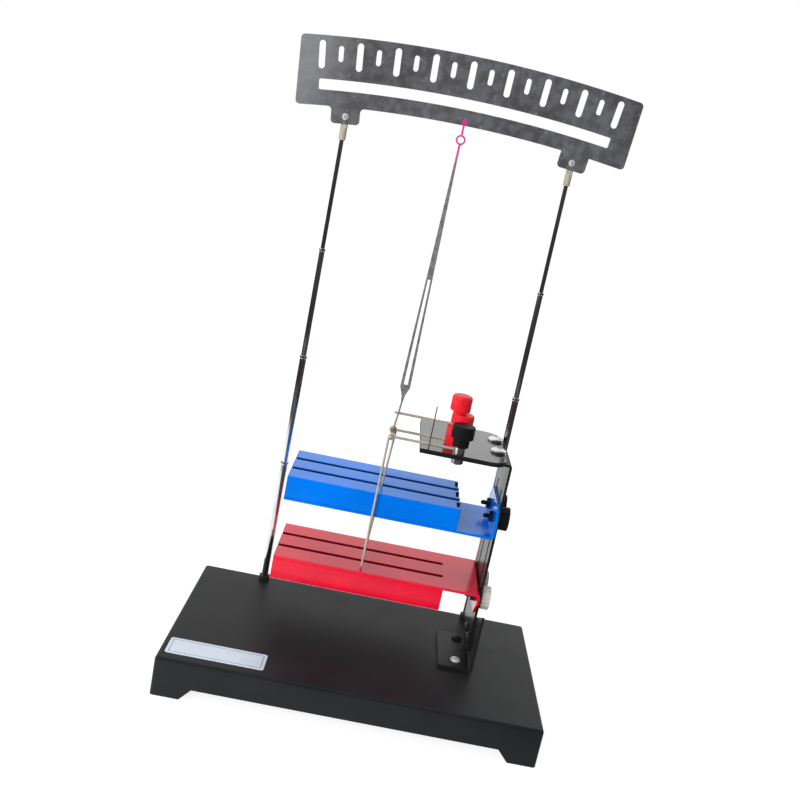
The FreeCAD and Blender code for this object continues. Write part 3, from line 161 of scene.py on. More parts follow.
class Tree:
    """A node tree that is built from expressions."""

    def __init__(self, owner: bpy.types.NodeTree) -> None:
        """Start from an empty tree.

        Args:
            owner: the node tree that is written, whose nodes are removed first.
        """
        self.owner = owner
        self.owner.nodes.clear()
        self._place: Wire | None = None
        self._axes: list[Wire] = []

    def inlet(self, node: bpy.types.Node, key: "int | str") -> bpy.types.NodeSocket:
        """A node's input socket.

        Args:
            node: the node.
            key: the socket's number, identifier or name.

        Returns:
            The socket.
        """
        if isinstance(key, int):
            return node.inputs[key]
        for socket in node.inputs:
            if socket.identifier == key:
                return socket
        return node.inputs[key]

    def node(self, kind: str, settings: dict | None = None, sockets: dict | None = None) -> bpy.types.Node:
        """Add a node.

        Args:
            kind: the node's type.
            settings: its settings, which are set before its sockets.
            sockets: values or wires for its input sockets.

        Returns:
            The new node.
        """
        made = self.owner.nodes.new(kind)
        for name, value in (settings or {}).items():
            setattr(made, name, value)
        for key, value in (sockets or {}).items():
            socket = self.inlet(made, key)
            if isinstance(value, Wire):
                self.owner.links.new(value.socket, socket)
            else:
                socket.default_value = value
        return made

    def math(self, operation: str, first: "Wire | float", second: "Wire | float") -> Wire:
        """One arithmetic step on two values."""
        made = self.node("ShaderNodeMath", {"operation": operation}, {0: first, 1: second})
        return Wire(self, made.outputs[0])

    @property
    def place(self) -> Wire:
        """The object's own coordinates, in metres."""
        if self._place is None:
            self._place = Wire(self, self.node("ShaderNodeTexCoord").outputs["Object"])
        return self._place

    @property
    def axes(self) -> list[Wire]:
        """The three object coordinates on their own."""
        if not self._axes:
            split = self.node("ShaderNodeSeparateXYZ", None, {0: self.place})
            self._axes = [Wire(self, socket) for socket in split.outputs]
        return self._axes

    def noise(self, pattern: Pattern) -> Wire:
        """A noise pattern's own value, around 0.5.

        Args:
            pattern: the pattern.

        Returns:
            The value.
        """
        place = self.place
        if pattern.stretch != (1.0, 1.0, 1.0) or pattern.shift:
            moved = self.node("ShaderNodeMapping", None, {"Vector": place, "Location": (pattern.shift,) * 3,
                                                          "Scale": pattern.stretch})
            place = Wire(self, moved.outputs[0])
        made = self.node("ShaderNodeTexNoise", {"noise_dimensions": "3D"},
                         {"Vector": place, "Scale": pattern.scale, "Detail": pattern.detail})
        return Wire(self, made.outputs[0])

    def step(self, value: "Wire", low: float, high: float, start: float = 0.0, end: float = 1.0) -> Wire:
        """A smooth step of a value from one level to another."""
        made = self.node("ShaderNodeMapRange", {"interpolation_type": "SMOOTHSTEP"},
                         {0: value, 1: low, 2: high, 3: start, 4: end})
        return Wire(self, made.outputs[0])

    def spread(self, pattern: Pattern, start: float = 0.0, end: float = 1.0) -> Wire:
        """A noise pattern whose band is spread from one level to another."""
        return self.step(self.noise(pattern), pattern.low, pattern.high, start, end)

    def tint(self, first: "Wire | Colour", second: "Wire | Colour", share: "Wire | float") -> Wire:
        """A colour between two colours.

        Args:
            first: the colour at a share of 0.
            second: the colour at a share of 1.
            share: how much of the second colour there is.

        Returns:
            The mixed colour.
        """
        pair = [colour if isinstance(colour, Wire) else (*colour, 1.0) for colour in (first, second)]
        made = self.node("ShaderNodeMix", {"data_type": "RGBA"},
                         {"Factor_Float": share, "A_Color": pair[0], "B_Color": pair[1]})
        return Wire(self, made.outputs[2])

    def bump(self, height: Wire, depth: float) -> Wire:
        """The normal that a height pattern gives, where a height of 1 stands this many metres out."""
        return Wire(self, self.node("ShaderNodeBump", None,
                                    {"Height": height, "Distance": depth, "Strength": 1.0}).outputs[0])

    def edge_distance(self, box: tuple[Vector, Vector]) -> Wire:
        """The distance from a point on a box's face to the nearest edge of that box.

        Args:
            box: the box's lowest and highest corner.

        Returns:
            The distance, in metres.
        """
        near = []
        for axis, low, high in zip(self.axes, *box):
            near.append((axis - low).least(high - axis))
        first, second, third = near
        return first.least(second).most(first.most(second).least(third))

    def surface(self, colour: "Wire | Colour", roughness: "Wire | float", metallic: "Wire | float" = 0.0,
                normal: Wire | None = None, **others: "Wire | float | tuple") -> None:
        """Close the tree with a surface.

        Args:
            colour: base colour.
            roughness: roughness.
            metallic: share of uncoated metal.
            normal: bumped normal.
            others: other sockets of the surface, by name with spaces as underscores.
        """
        sockets = {"Base Color": colour if isinstance(colour, Wire) else (*colour, 1.0),
                   "Roughness": roughness, "Metallic": metallic}
        if normal is not None:
            sockets["Normal"] = normal
        for name, value in others.items():
            sockets[name.replace("_", " ")] = value
        shader = self.node("ShaderNodeBsdfPrincipled", None, sockets)
        self.node("ShaderNodeOutputMaterial", None, {"Surface": Wire(self, shader.outputs[0])})


@dataclass(frozen=True)
class Finish:
    """A finish: one procedural material, built the first time that a piece asks for it."""

    name: str
    slot: str

    def dress(self, tree: Tree) -> None:
        """Write the finish into an empty node tree."""
        raise NotImplementedError(self.name)

    def material(self) -> bpy.types.Material:
        """The finish's material.

        Returns:
            The material, the same one for every piece that asks.
        """
        label = f"finish_{self.name}"
        found = bpy.data.materials.get(label)
        if found is None:
            found = bpy.data.materials.new(label)
            found.use_nodes = True
            self.dress(Tree(found.node_tree))
        return found


@dataclass(frozen=True)
class SprayPaint(Finish):
    """Sprayed paint with a faint orange peel, dust specks, edges that are rubbed thin, and painted shade on
    groove walls and in a notch.
    """

    colour: Colour
    rubbed: Colour
    roughness: float = 0.2
    grain: float = 900.0
    grain_depth: float = 0.012 * MM
    specular: float = 0.5
    sheen: Colour = (1.0, 1.0, 1.0)
    dust: float = 0.1
    dusty: Colour = (0.5, 0.5, 0.5)
    edges: Corners = ()
    edge_width: float = 0.7 * MM
    edge_band: float = 0.12 * MM
    edge_fade: Pair = (-0.25 * MM, 0.05 * MM)
    # Painted shade: places of the groove walls that are darkened, the height below which they are darkened,
    # and the notch box that is darkened.
    dark_faces: tuple[float, ...] = ()
    dark_below: float = 0.0
    dark_pit: Corners = ()
    deep: float = 0.82
    rub: float = 0.55
    darkness: float = 0.92
    uneven: float = 0.12
    rub_uneven: float = 0.15
    least_edge: float = 0.25
    film_share: float = 0.5
    # Tone of the painted shade against the paint's colour.
    shade_share: float = 0.06
    shade_least: float = 0.004
    clouds: Pattern = Pattern(14)
    specks: Pattern = Pattern(1500, 1, 0.66, 0.74, shift=0.3)
    film: Pattern = Pattern(45, 4, 0.35, 0.8, shift=0.7)
    patches: Pattern = Pattern(120, 4, 0.42, 0.68, shift=0.1)

    def wear(self, tree: Tree) -> Wire:
        """How far the paint is rubbed off along the edges of its box.

        Args:
            tree: the finish's tree.

        Returns:
            The share that is rubbed off.
        """
        low, high = (Vector(corner) for corner in self.edges)
        patchy = tree.spread(self.patches, self.edge_width * self.least_edge, self.edge_width)
        return tree.step(tree.edge_distance((low, high)) - patchy, *self.edge_fade, 1.0, 0.0) * self.rub

    def darkened(self, tree: Tree, colour: Wire) -> Wire:
        """The colour with painted shade on its groove walls and in its notch.

        Args:
            tree: the finish's tree.
            colour: the painted colour.

        Returns:
            The colour over the whole piece.
        """
        band = self.edge_band
        # Painted shade: the groove walls below the lip and the inside of the notch are darkened towards a
        # deep tone of the paint.
        painted_shade = scaled(self.colour, self.shade_share, self.shade_least)
        for place in self.dark_faces:
            away = tree.axes[1] - place
            wall = tree.step(away * away, 0.25 * band ** 2, band ** 2, self.darkness, 0.0)
            under = tree.step(tree.axes[2], self.dark_below - band, self.dark_below, 1.0, 0.0)
            colour = tree.tint(colour, painted_shade, wall * under)
        # Painted shade inside the notch.
        if self.dark_pit:
            low, high = (Vector(corner) for corner in self.dark_pit)
            within = high.z - tree.axes[2]
            for axis, first, last in zip(tree.axes, low, (high.x, high.y, 1.0)):
                within = within.least((axis - (first - band)).least((last + band) - axis))
            colour = tree.tint(colour, painted_shade, tree.step(within, 0.5 * band, band, 0.0, self.darkness))
        return colour

    def dress(self, tree: Tree) -> None:
        """Write the paint.

        Args:
            tree: the finish's empty tree.
        """
        cloud = tree.noise(self.clouds)
        colour = tree.tint(scaled(self.colour, self.deep), self.colour,
                           tree.step(cloud, self.clouds.low, self.clouds.high))
        film = tree.spread(self.film) * self.film_share + tree.spread(self.specks)
        colour = tree.tint(colour, self.dusty, film * self.dust)
        roughness = self.roughness + (cloud - 0.5) * self.uneven + film * self.uneven
        if self.edges:
            rubbed = self.wear(tree)
            colour = tree.tint(colour, self.rubbed, rubbed)
            roughness = roughness + rubbed * self.rub_uneven
        peel = tree.bump(tree.noise(Pattern(self.grain, 2)), self.grain_depth)
        tree.surface(self.darkened(tree, colour), roughness, 0.0, peel,
                     Specular_IOR_Level=self.specular, Specular_Tint=(*self.sheen, 1.0))


@dataclass(frozen=True)
class PlatedMetal(Finish):
    """Plated or polished metal with tarnish clouds and fine drawn lines."""

    colour: Colour
    stained: Colour
    roughness: float = 0.12
    stain: float = 0.5
    stretch: Triple = (1.0, 1.0, 0.03)
    line_scale: float = 2600.0
    line_depth: float = 0.002 * MM
    metallic: float = 1.0
    fine_stain: float = 0.25
    dulled: float = 0.1
    uneven: float = 0.12
    clouds: Pattern = Pattern(60, 4, 0.4, 0.72)
    flecks: Pattern = Pattern(420, 3, 0.6, 0.75, shift=0.4)

    def dress(self, tree: Tree) -> None:
        """Write the metal.

        Args:
            tree: the finish's empty tree.
        """
        cloud = tree.spread(self.clouds)
        lines = tree.noise(Pattern(self.line_scale, 2, stretch=self.stretch))
        colour = tree.tint(self.colour, self.stained,
                           cloud * self.stain + tree.spread(self.flecks) * self.fine_stain)
        roughness = self.roughness + cloud * self.dulled + (lines - 0.5) * self.uneven
        tree.surface(colour, roughness, self.metallic, tree.bump(lines, self.line_depth))


@dataclass(frozen=True)
class MottledSteel(Finish):
    """Hot dipped sheet: dark cloudy steel with pale flecks, short scratches and a painted reflection that
    lightens its left end.
    """

    colour: Colour
    pale: Colour
    dark: Colour
    roughness: float = 0.34
    patch_dull: float = 0.12
    fleck_bright: float = 0.1
    metallic: float = 0.25
    relief: float = 0.008 * MM
    # Painted reflection at the left end: its span along X, its strength and how far its border wanders.
    reflection_end: Pair = (-135 * MM, -85 * MM)
    reflection_share: float = 0.5
    reflection_drift: float = 20 * MM
    wide_share: float = 0.4
    patch_share: float = 0.6
    fleck_share: float = 0.3
    scratch_share: float = 0.18
    wide: Pattern = Pattern(16, 3, 0.3, 0.7)
    patches: Pattern = Pattern(130, 5, 0.36, 0.64, shift=0.2)
    flecks: Pattern = Pattern(520, 3, 0.6, 0.72, (1.0, 1.0, 0.55), 0.5)
    scratches: Pattern = Pattern(900, 2, 0.66, 0.74, (0.12, 1.0, 1.0), 0.9)

    def dress(self, tree: Tree) -> None:
        """Write the sheet.

        Args:
            tree: the finish's empty tree.
        """
        wide = tree.spread(self.wide)
        patch = tree.spread(self.patches)
        fleck = tree.spread(self.flecks)
        colour = tree.tint(self.dark, self.colour, patch * self.patch_share + wide * self.wide_share)
        colour = tree.tint(colour, self.pale,
                           fleck * self.fleck_share + tree.spread(self.scratches) * self.scratch_share)
        # Painted reflection: the left end is lightened towards the pale colour, and its border wanders with
        # the wide pattern.
        drifted = tree.axes[0] + (wide - 0.5) * self.reflection_drift
        colour = tree.tint(colour, self.pale, tree.step(drifted, *self.reflection_end, self.reflection_share, 0.0))
        roughness = self.roughness + patch * self.patch_dull - fleck * self.fleck_bright
        tree.surface(colour, roughness, self.metallic, tree.bump(patch + fleck, self.relief))


@dataclass(frozen=True)
class Moulded(Finish):
    """Moulded plastic with a faint flow pattern and handling marks."""

    colour: Colour
    worn: Colour
    roughness: float = 0.35
    specular: float = 0.5
    grain_depth: float = 0.01 * MM
    deep: float = 0.85
    wear: float = 0.35
    scuff_dull: float = 0.12
    flow_dull: float = 0.05
    flow: Pattern = Pattern(110, 3, 0.35, 0.7)
    grain: Pattern = Pattern(2400, 2)
    scuffs: Pattern = Pattern(700, 3, 0.62, 0.72, (1.0, 1.0, 0.3), 0.6)

    def dress(self, tree: Tree) -> None:
        """Write the plastic.

        Args:
            tree: the finish's empty tree.
        """
        flow = tree.spread(self.flow)
        scuff = tree.spread(self.scuffs)
        colour = tree.tint(tree.tint(scaled(self.colour, self.deep), self.colour, flow), self.worn,
                           scuff * self.wear)
        roughness = self.roughness + scuff * self.scuff_dull + flow * self.flow_dull
        tree.surface(colour, roughness, 0.0, tree.bump(tree.noise(self.grain), self.grain_depth),
                     Specular_IOR_Level=self.specular)


@dataclass(frozen=True)
class GlossSheet(Finish):
    """Black sheet with a glossy face, faint smears, hairline scratches and dull cut edges."""

    colour: Colour
    face: float
    shine: float = 1.9
    shine_roughness: float = 0.13
    face_band: Pair = (0.12 * MM, 0.04 * MM)
    scratched: Colour = (0.2, 0.2, 0.2)
    roughness: float = 0.5
    uneven: float = 0.1
    specular: float = 0.15
    relief: float = 0.004 * MM
    hair_share: float = 0.2
    smear_share: float = 0.03
    smears: Pattern = Pattern(38, 4, 0.35, 0.75, (1.0, 0.5, 1.0))
    hairlines: Pattern = Pattern(1300, 2, 0.68, 0.75, (0.06, 1.0, 1.0), 0.3)

    def dress(self, tree: Tree) -> None:
        """Write the sheet.

        Args:
            tree: the finish's empty tree.
        """
        smear = tree.spread(self.smears)
        hair = tree.spread(self.hairlines)
        colour = tree.tint(self.colour, self.scratched, hair * self.hair_share + smear * self.smear_share)
        start, end = (self.face - depth for depth in self.face_band)
        tree.surface(colour, self.roughness + smear * self.uneven + hair * self.uneven, 0.0,
                     tree.bump(smear, self.relief), Specular_IOR_Level=self.specular,
                     Coat_Weight=tree.step(tree.axes[2], start, end), Coat_IOR=self.shine,
                     Coat_Roughness=self.shine_roughness)


@dataclass(frozen=True)
class Sticker(Finish):
    """A blank laminated sticker with a thin dark border."""

    low: Pair
    high: Pair
    paper: Colour = (0.68, 0.775, 0.87)
    faded: Colour = (0.6, 0.66, 0.76)
    line: Colour = (0.08, 0.1, 0.16)
    grimy: Colour = (0.3, 0.3, 0.32)
    margin: float = 2.2 * MM
    line_width: float = 0.45 * MM
    line_soft: float = 0.08 * MM
    grime_reach: float = 3 * MM
    buckle_height: float = 0.12 * MM
    roughness: float = 0.28
    uneven: float = 0.1
    line_share: float = 0.9
    grime_share: float = 0.5
    grime_middle: float = 0.15
    film: float = 0.4
    film_roughness: float = 0.15
    clouds: Pattern = Pattern(70, 4, 0.45, 0.8)
    grime: Pattern = Pattern(500, 4, 0.6, 0.75, shift=0.8)
    buckles: Pattern = Pattern(55, 2, shift=0.5)

    def dress(self, tree: Tree) -> None:
        """Write the sticker.

        Args:
            tree: the finish's empty tree.
        """
        across, along, _ = tree.axes
        inset = (across - self.low[0]).least(self.high[0] - across)
        inset = inset.least((along - self.low[1]).least(self.high[1] - along))
        within = self.margin + self.line_width
        ruled = tree.step(inset, self.margin - self.line_soft, self.margin) * tree.step(
            inset, within, within + self.line_soft, 1.0, 0.0)
        cloud = tree.noise(self.clouds)
        colour = tree.tint(self.paper, self.faded, tree.step(cloud, self.clouds.low, self.clouds.high))
        colour = tree.tint(colour, self.line, ruled * self.line_share)
        grime = tree.spread(self.grime) * tree.step(inset, 0.0, self.grime_reach, 1.0, self.grime_middle)
        colour = tree.tint(colour, self.grimy, grime * self.grime_share)
        buckled = tree.bump(tree.noise(self.buckles), self.buckle_height)
        tree.surface(colour, self.roughness + cloud * self.uneven, 0.0, buckled,
                     Coat_Weight=self.film, Coat_Roughness=self.film_roughness)


@dataclass(frozen=True)
class PointerSheet(Finish):
    """Thin sheet whose upper part is lacquered magenta, fading into dark metal."""

    metal: Colour
    lacquer: Colour
    fade_low: float
    fade_high: float
    fade_drift: float = 20 * MM
    metal_deep: float = 0.55
    lacquer_deep: float = 0.75
    metallic: float = 0.45
    roughness: float = 0.3
    stain_dull: float = 0.1
    relief: float = 0.004 * MM
    ragged: Pattern = Pattern(160)
    lines: Pattern = Pattern(2200, 2, stretch=(1.0, 1.0, 0.04))
    stains: Pattern = Pattern(240, 4, 0.4, 0.7, shift=0.2)

    def dress(self, tree: Tree) -> None:
        """Write the pointer.

        Args:
            tree: the finish's empty tree.
        """
        drifted = tree.axes[2] + (tree.noise(self.ragged) - 0.5) * self.fade_drift
        lacquered = tree.step(drifted, self.fade_low, self.fade_high)
        stain = tree.spread(self.stains)
        metal = tree.tint(self.metal, scaled(self.metal, self.metal_deep), stain)
        lacquer = tree.tint(self.lacquer, scaled(self.lacquer, self.lacquer_deep), stain)
        tree.surface(tree.tint(metal, lacquer, lacquered), self.roughness + stain * self.stain_dull,
                     (1.0 - lacquered) * self.metallic, tree.bump(tree.noise(self.lines), self.relief))


class Shape:
    """A closed mesh in the making."""

    def __init__(self) -> None:
        """Start empty."""
        self.mesh = bmesh.new()

    @classmethod
    def turned(cls, outline: Outline, steps: int = ROUND_STEPS) -> "Shape":
        """Turn an outline once round the Z axis.

        Args:
            outline: (radius, height) corners in order. An outline that starts and ends on the axis
                is closed by it, any other runs back to its first corner.
            steps: segments of the full turn.

        Returns:
            The turned shape.
        """
        shape = cls()
        corners = [shape.mesh.verts.new((radius, 0.0, height)) for radius, height in outline]
        pairs = list(zip(corners, corners[1:]))
        if outline[0][0] > 0:
            pairs.append((corners[-1], corners[0]))
        edges = [shape.mesh.edges.new(pair) for pair in pairs]
        bmesh.ops.spin(shape.mesh, geom=corners + edges, cent=(0, 0, 0), axis=(0, 0, 1), angle=TURN,
                       steps=steps, use_merge=True, use_duplicate=False)
        return shape.cleaned()

    @classmethod
    def block(cls, length: float, width: float, low: float, high: float, foot: float = 1.0) -> "Shape":
        """A block round the Z axis.

        Args:
            length: size along X.
            width: size along Y.
            low: height of its foot.
            high: height of its top.
            foot: size of the foot against the top.

        Returns:
            The block.
        """
        shape = cls()
        made = bmesh.ops.create_cube(shape.mesh, size=1.0)["verts"]
        bmesh.ops.scale(shape.mesh, vec=(length, width, high - low), verts=made)
        bmesh.ops.translate(shape.mesh, vec=(0, 0, (low + high) / 2), verts=made)
        lower = [vert for vert in made if vert.co.z < (low + high) / 2]
        bmesh.ops.scale(shape.mesh, vec=(foot, foot, 1.0), verts=lower)
        return shape

    @classmethod
    def thread(cls, radius: float, low: float, high: float, pitch: float) -> "Shape":
        """A threaded shank: a core with one closed ridge wound round it.

        Args:
            radius: radius over the thread's crest.
            low: height of the shank's end.
            high: height of its root.
            pitch: rise of one turn.

        Returns:
            The shank.
        """
        core = THREAD_CORE * radius
        chamfer = THREAD_CHAMFER * radius
        outline = [(0, low), (core - chamfer, low), (core, low + chamfer), (core, high), (0, high)]
        shape = cls.turned(outline, CORE_STEPS)
        turns = max(1.0, (high - low - chamfer) / pitch - PLAIN_TURNS)
        steps = int(turns * THREAD_STEPS)
        ridge = cls()
        start = low + chamfer
        root = THREAD_ROOT * core
        width = THREAD_WIDTH * pitch
        profile = ((root, start), (radius, start + width / 2), (root, start + width))
        corners = [ridge.mesh.verts.new((reach, 0.0, height)) for reach, height in profile]
        face = ridge.mesh.faces.new(corners)
        bmesh.ops.spin(ridge.mesh, geom=corners + list(face.edges) + [face], cent=(0, 0, 0),
                       axis=(0, 0, 1), angle=TURN * turns, steps=steps, use_duplicate=False,
                       dvec=(0, 0, turns * pitch / steps))
        return shape.joined(ridge.cleaned())

    def cleaned(self) -> "Shape":
        """Merge doubles, drop edges that bound no face and turn every face outwards.

        Returns:
            The shape.
        """
        bmesh.ops.remove_doubles(self.mesh, verts=self.mesh.verts, dist=WELD)
        loose = [edge for edge in self.mesh.edges if not edge.link_faces]
        bmesh.ops.delete(self.mesh, geom=loose, context="EDGES")
        bmesh.ops.recalc_face_normals(self.mesh, faces=self.mesh.faces)
        return self

    def ribbed(self, low: float, high: float, count: int, depth: float) -> "Shape":
        """Press fine upright ribs into a rim that was turned round the Z axis.

        Args:
            low: height where the ribs start.
            high: height where they end.
            count: ribs round the rim.
            depth: depth between two ribs.

        Returns:
            The shape.
        """
        for vert in self.mesh.verts:
            reach = vert.co.xy.length
            if low < vert.co.z < high and reach > 0:
                valley = 0.5 - 0.5 * math.cos(count * math.atan2(vert.co.y, vert.co.x))
                vert.co.xy *= 1 - depth * valley / reach
        return self

    def moved(self, placement: Matrix) -> "Shape":
        """Put the shape at a placement."""
        bmesh.ops.transform(self.mesh, matrix=placement, verts=self.mesh.verts)
        return self

    def twin(self) -> "Shape":
        """A second shape like this one.

        Returns:
            The second shape.
        """
        other = Shape()
        other.mesh.free()
        other.mesh = self.mesh.copy()
        return other

    def joined(self, *others: "Shape") -> "Shape":
        """Take other shapes into this one, each as a shell of its own.

        Args:
            others: the shapes that are taken in.

        Returns:
            The whole shape.
        """
        for other in others:
            data = bpy.data.meshes.new("joined")
            other.mesh.to_mesh(data)
            self.mesh.from_mesh(data)
            bpy.data.meshes.remove(data)
        return self

    def carved(self, tool: "Shape", operation: str = "DIFFERENCE") -> "Shape":
        """Cut the shape with another.

        Args:
            tool: the closed shape that cuts.
            operation: DIFFERENCE or INTERSECT.

        Returns:
            The cut shape.
        """
        objects = []
        for shape in (self, tool):
            data = bpy.data.meshes.new("carved")
            shape.mesh.to_mesh(data)
            objects.append(bpy.data.objects.new("carved", data))
            bpy.context.scene.collection.objects.link(objects[-1])
        cut = objects[0].modifiers.new("cut", "BOOLEAN")
        cut.object = objects[1]
        cut.operation = operation
        cut.solver = "EXACT"
        graph = bpy.context.evaluated_depsgraph_get()
        result = bpy.data.meshes.new_from_object(objects[0].evaluated_get(graph))
        self.mesh.clear()
        self.mesh.from_mesh(result)
        for thing in objects:
            data = thing.data
            bpy.data.objects.remove(thing)
            bpy.data.meshes.remove(data)
        bpy.data.meshes.remove(result)
        return self.cleaned()

    def object(self, name: str, bevel: float = 0.0, segments: int = 2) -> bpy.types.Object:
        """Make the finished object.

        Args:
            name: the piece's name.
            bevel: width of the bevel on its sharp edges, or 0.
            segments: segments of that bevel.

        Returns:
            The object, in the scene.
        """
        for face in self.mesh.faces:
            face.smooth = True
        for edge in self.mesh.edges:
            edge.smooth = len(edge.link_faces) == 2 and edge.calc_face_angle(0.0) < SHARP
        data = bpy.data.meshes.new(name)
        self.mesh.to_mesh(data)
        self.mesh.free()
        made = bpy.data.objects.new(name, data)
        bpy.context.scene.collection.objects.link(made)
        if bevel:
            soften = made.modifiers.new("soft_edges", "BEVEL")
            soften.width = bevel
            soften.segments = segments
            soften.limit_method = "ANGLE"
            soften.angle_limit = SHARP
            soften.harden_normals = True
        return made


@dataclass
class Assembly:
    """A sub-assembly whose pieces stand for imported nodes."""

    def show(self, piece: bpy.types.Object, finish: Finish, *nodes: str) -> bpy.types.Object:
        """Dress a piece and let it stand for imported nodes.

        Args:
            piece: the finished piece.
            finish: its finish.
            nodes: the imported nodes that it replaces, all on one body.

        Returns:
            The piece.
        """
        if not piece.data.materials:
            piece.data.materials.append(None)
        piece.data.materials[0] = finish.material()
        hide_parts(*nodes)
        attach(piece, BODY_OF[nodes[0]])
        log.info("%s: %s stands for %s", type(self).__name__, piece.name, ", ".join(nodes))
        return piece

    def copy(self, node: str) -> Shape:
        """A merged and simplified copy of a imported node's shape.

        Args:
            node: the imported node.

        Returns:
            The copy.
        """
        shape = Shape()
        shape.mesh.from_mesh(frame["nodes"][node].data)
        for layers in (shape.mesh.loops.layers.float_vector, shape.mesh.loops.layers.uv):
            for layer in list(layers.values()):
                layers.remove(layer)
        bmesh.ops.remove_doubles(shape.mesh, verts=shape.mesh.verts, dist=10 * WELD)
        bmesh.ops.dissolve_limit(shape.mesh, angle_limit=math.radians(0.6), verts=shape.mesh.verts,
                                 edges=shape.mesh.edges, use_dissolve_boundaries=False)
        return shape.cleaned()

    def refine(self, node: str, finish: Finish, bevel: float = 0.0, segments: int = 2) -> bpy.types.Object:
        """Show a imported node's own shape with softened edges."""
        return self.show(self.copy(node).object(f"shown_{node}", bevel, segments), finish, node)

    def stand_in(self, shape: Shape, finish: Finish, node: str) -> bpy.types.Object:
        """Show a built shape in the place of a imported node."""
        return self.show(shape.object(f"shown_{node}"), finish, node)


@dataclass(frozen=True)
class Fastener:
    """Sizes of a screw and its nut.

    Args:
        shank: radius over the thread's crest.
        head: radius of the head.
        head_height: height of the head.
        nut: width of the nut across its flats.
        nut_height: height of the nut.
        pitch: rise of one turn of the thread.
        cross_width: width of the cross recess against the head's radius.
        cross_depth: depth of the recess against the head's height.
        cross_taper: width of the recess at its floor against its mouth.
        cross_turn: turn of the recess.
        foot_share: radius at the head's foot and at the nut's face against the rim and the flats.
        bore_share: radius of the nut's bore against the shank.
        corner_slope: height of the nut's chamfer against how far its corners stand out.
        past_corner: reach of the cone that cuts the chamfer against the corner.
    """

    shank: float
    head: float = 0.0
    head_height: float = 0.0
    nut: float = 0.0
    nut_height: float = 0.0
    pitch: float = 0.7 * MM
    cross_width: float = 0.2
    cross_depth: float = 0.55
    cross_taper: float = 0.45
    cross_turn: float = TURN / 16
    foot_share: float = 0.97
    bore_share: float = 0.97
    corner_slope: float = 0.55
    past_corner: float = 1.02

    def pan_head(self, edge: float = 0.3, recess: float = 0.55) -> Shape:
        """The head above its seat, domed from a short upright rim, with a cross recess.

        Args:
            edge: share of the head's height that the rim takes.
            recess: reach of the recess against the head's radius.

        Returns:
            The head.
        """
        rim = self.head_height * edge
        outline = [(0.0, 0.0), (self.head * self.foot_share, 0.0), (self.head, rim * 0.3), (self.head, rim)]
        for part in range(1, DOME_STEPS + 1):
            angle = TURN / 4 * part / DOME_STEPS
            outline.append((self.head * math.cos(angle) if part < DOME_STEPS else 0.0,
                            rim + (self.head_height - rim) * math.sin(angle)))
        head = Shape.turned(outline)
        floor = self.head_height * (1 - self.cross_depth)
        for turn in (0.0, TURN / 4):
            blade = Shape.block(self.head * recess * 2, self.head * self.cross_width, floor,
                                self.head_height * 1.2, self.cross_taper)
            head.carved(blade.moved(Matrix.Rotation(turn + self.cross_turn, 4, "Z")))
        return head

    def screw(self, length: float, **head: float) -> Shape:
        """A screw whose seat is at height 0 and whose threaded shank hangs below."""
        shank = Shape.thread(self.shank, -length, self.head_height * 0.2, self.pitch)
        return self.pan_head(**head).joined(shank)

    def hex_nut(self) -> Shape:
        """A nut that stands on height 0: a hexagon with chamfered corners and a bore.

        Returns:
            The nut.
        """
        corner = self.nut / math.sqrt(3)
        flat = self.nut / 2
        top = self.nut_height
        hexagon = Shape.turned([(0, 0), (corner, 0), (corner, top), (0, top)], 6)
        slope = (corner - flat) * self.corner_slope
        inner = flat * self.foot_share
        outer = corner * self.past_corner
        cone = Shape.turned([(0, -WELD), (inner, -WELD), (outer, slope), (outer, top - slope),
                             (inner, top + WELD), (0, top + WELD)], RIM_STEPS)
        bore = self.shank * self.bore_share
        hole = Shape.turned([(0, -MM), (bore, -MM), (bore, top + MM), (0, top + MM)], CORE_STEPS)
        return hexagon.carved(cone, "INTERSECT").carved(hole)


def several(shape: Shape, places: Sequence[Matrix]) -> Shape:
    """The same shape at several placements, as one shape.

    Args:
        shape: the shape that is repeated.
        places: its placements.

    Returns:
        The whole shape.
    """
    whole = Shape()
    for place in places:
        whole.joined(shape.twin().moved(place))
    return whole


EVEN = (1.0, 1.0, 1.0)
ZINC = PlatedMetal("zinc", "zinc", (0.74, 0.75, 0.77), (0.42, 0.42, 0.43), 0.22, 0.5, EVEN, 900.0)
DARK_ZINC = PlatedMetal("dark_zinc", "zinc", (0.16, 0.16, 0.17), (0.06, 0.06, 0.06), 0.3, 0.6)
DOME_ZINC = PlatedMetal("dome_zinc", "zinc", (0.86, 0.87, 0.88), (0.6, 0.6, 0.61), 0.26, 0.4, EVEN, 900.0)
SATIN_ZINC = PlatedMetal("satin_zinc", "zinc", (0.84, 0.85, 0.86), (0.5, 0.5, 0.51), 0.28, 0.5, EVEN, 900.0,
                         metallic=0.5)
CHROME = PlatedMetal("chrome", "chrome", (0.76, 0.77, 0.79), (0.56, 0.57, 0.6), 0.06, 0.5)
COLLAR_NICKEL = PlatedMetal("collar_nickel", "zinc", (0.82, 0.82, 0.83), (0.16, 0.15, 0.15), 0.1, 0.75,
                            (1.0, 1.0, 0.05), 700.0)
BRASS = PlatedMetal("brass", "brass", (0.62, 0.55, 0.44), (0.4, 0.33, 0.23), 0.24, 0.6, (0.04, 1.0, 1.0),
                    metallic=0.35)
PALE_BRASS = PlatedMetal("pale_brass", "brass", (0.74, 0.71, 0.56), (0.5, 0.47, 0.33), 0.24, 0.6,
                         metallic=0.35)
WIRE_BRASS = PlatedMetal("wire_brass", "brass", (0.64, 0.58, 0.48), (0.42, 0.36, 0.26), 0.2, 0.6,
                         metallic=0.35)
STEM_STEEL = PlatedMetal("stem_steel", "stem_steel", (0.42, 0.4, 0.36), (0.2, 0.18, 0.15), 0.25, 0.6,
                         metallic=0.4)
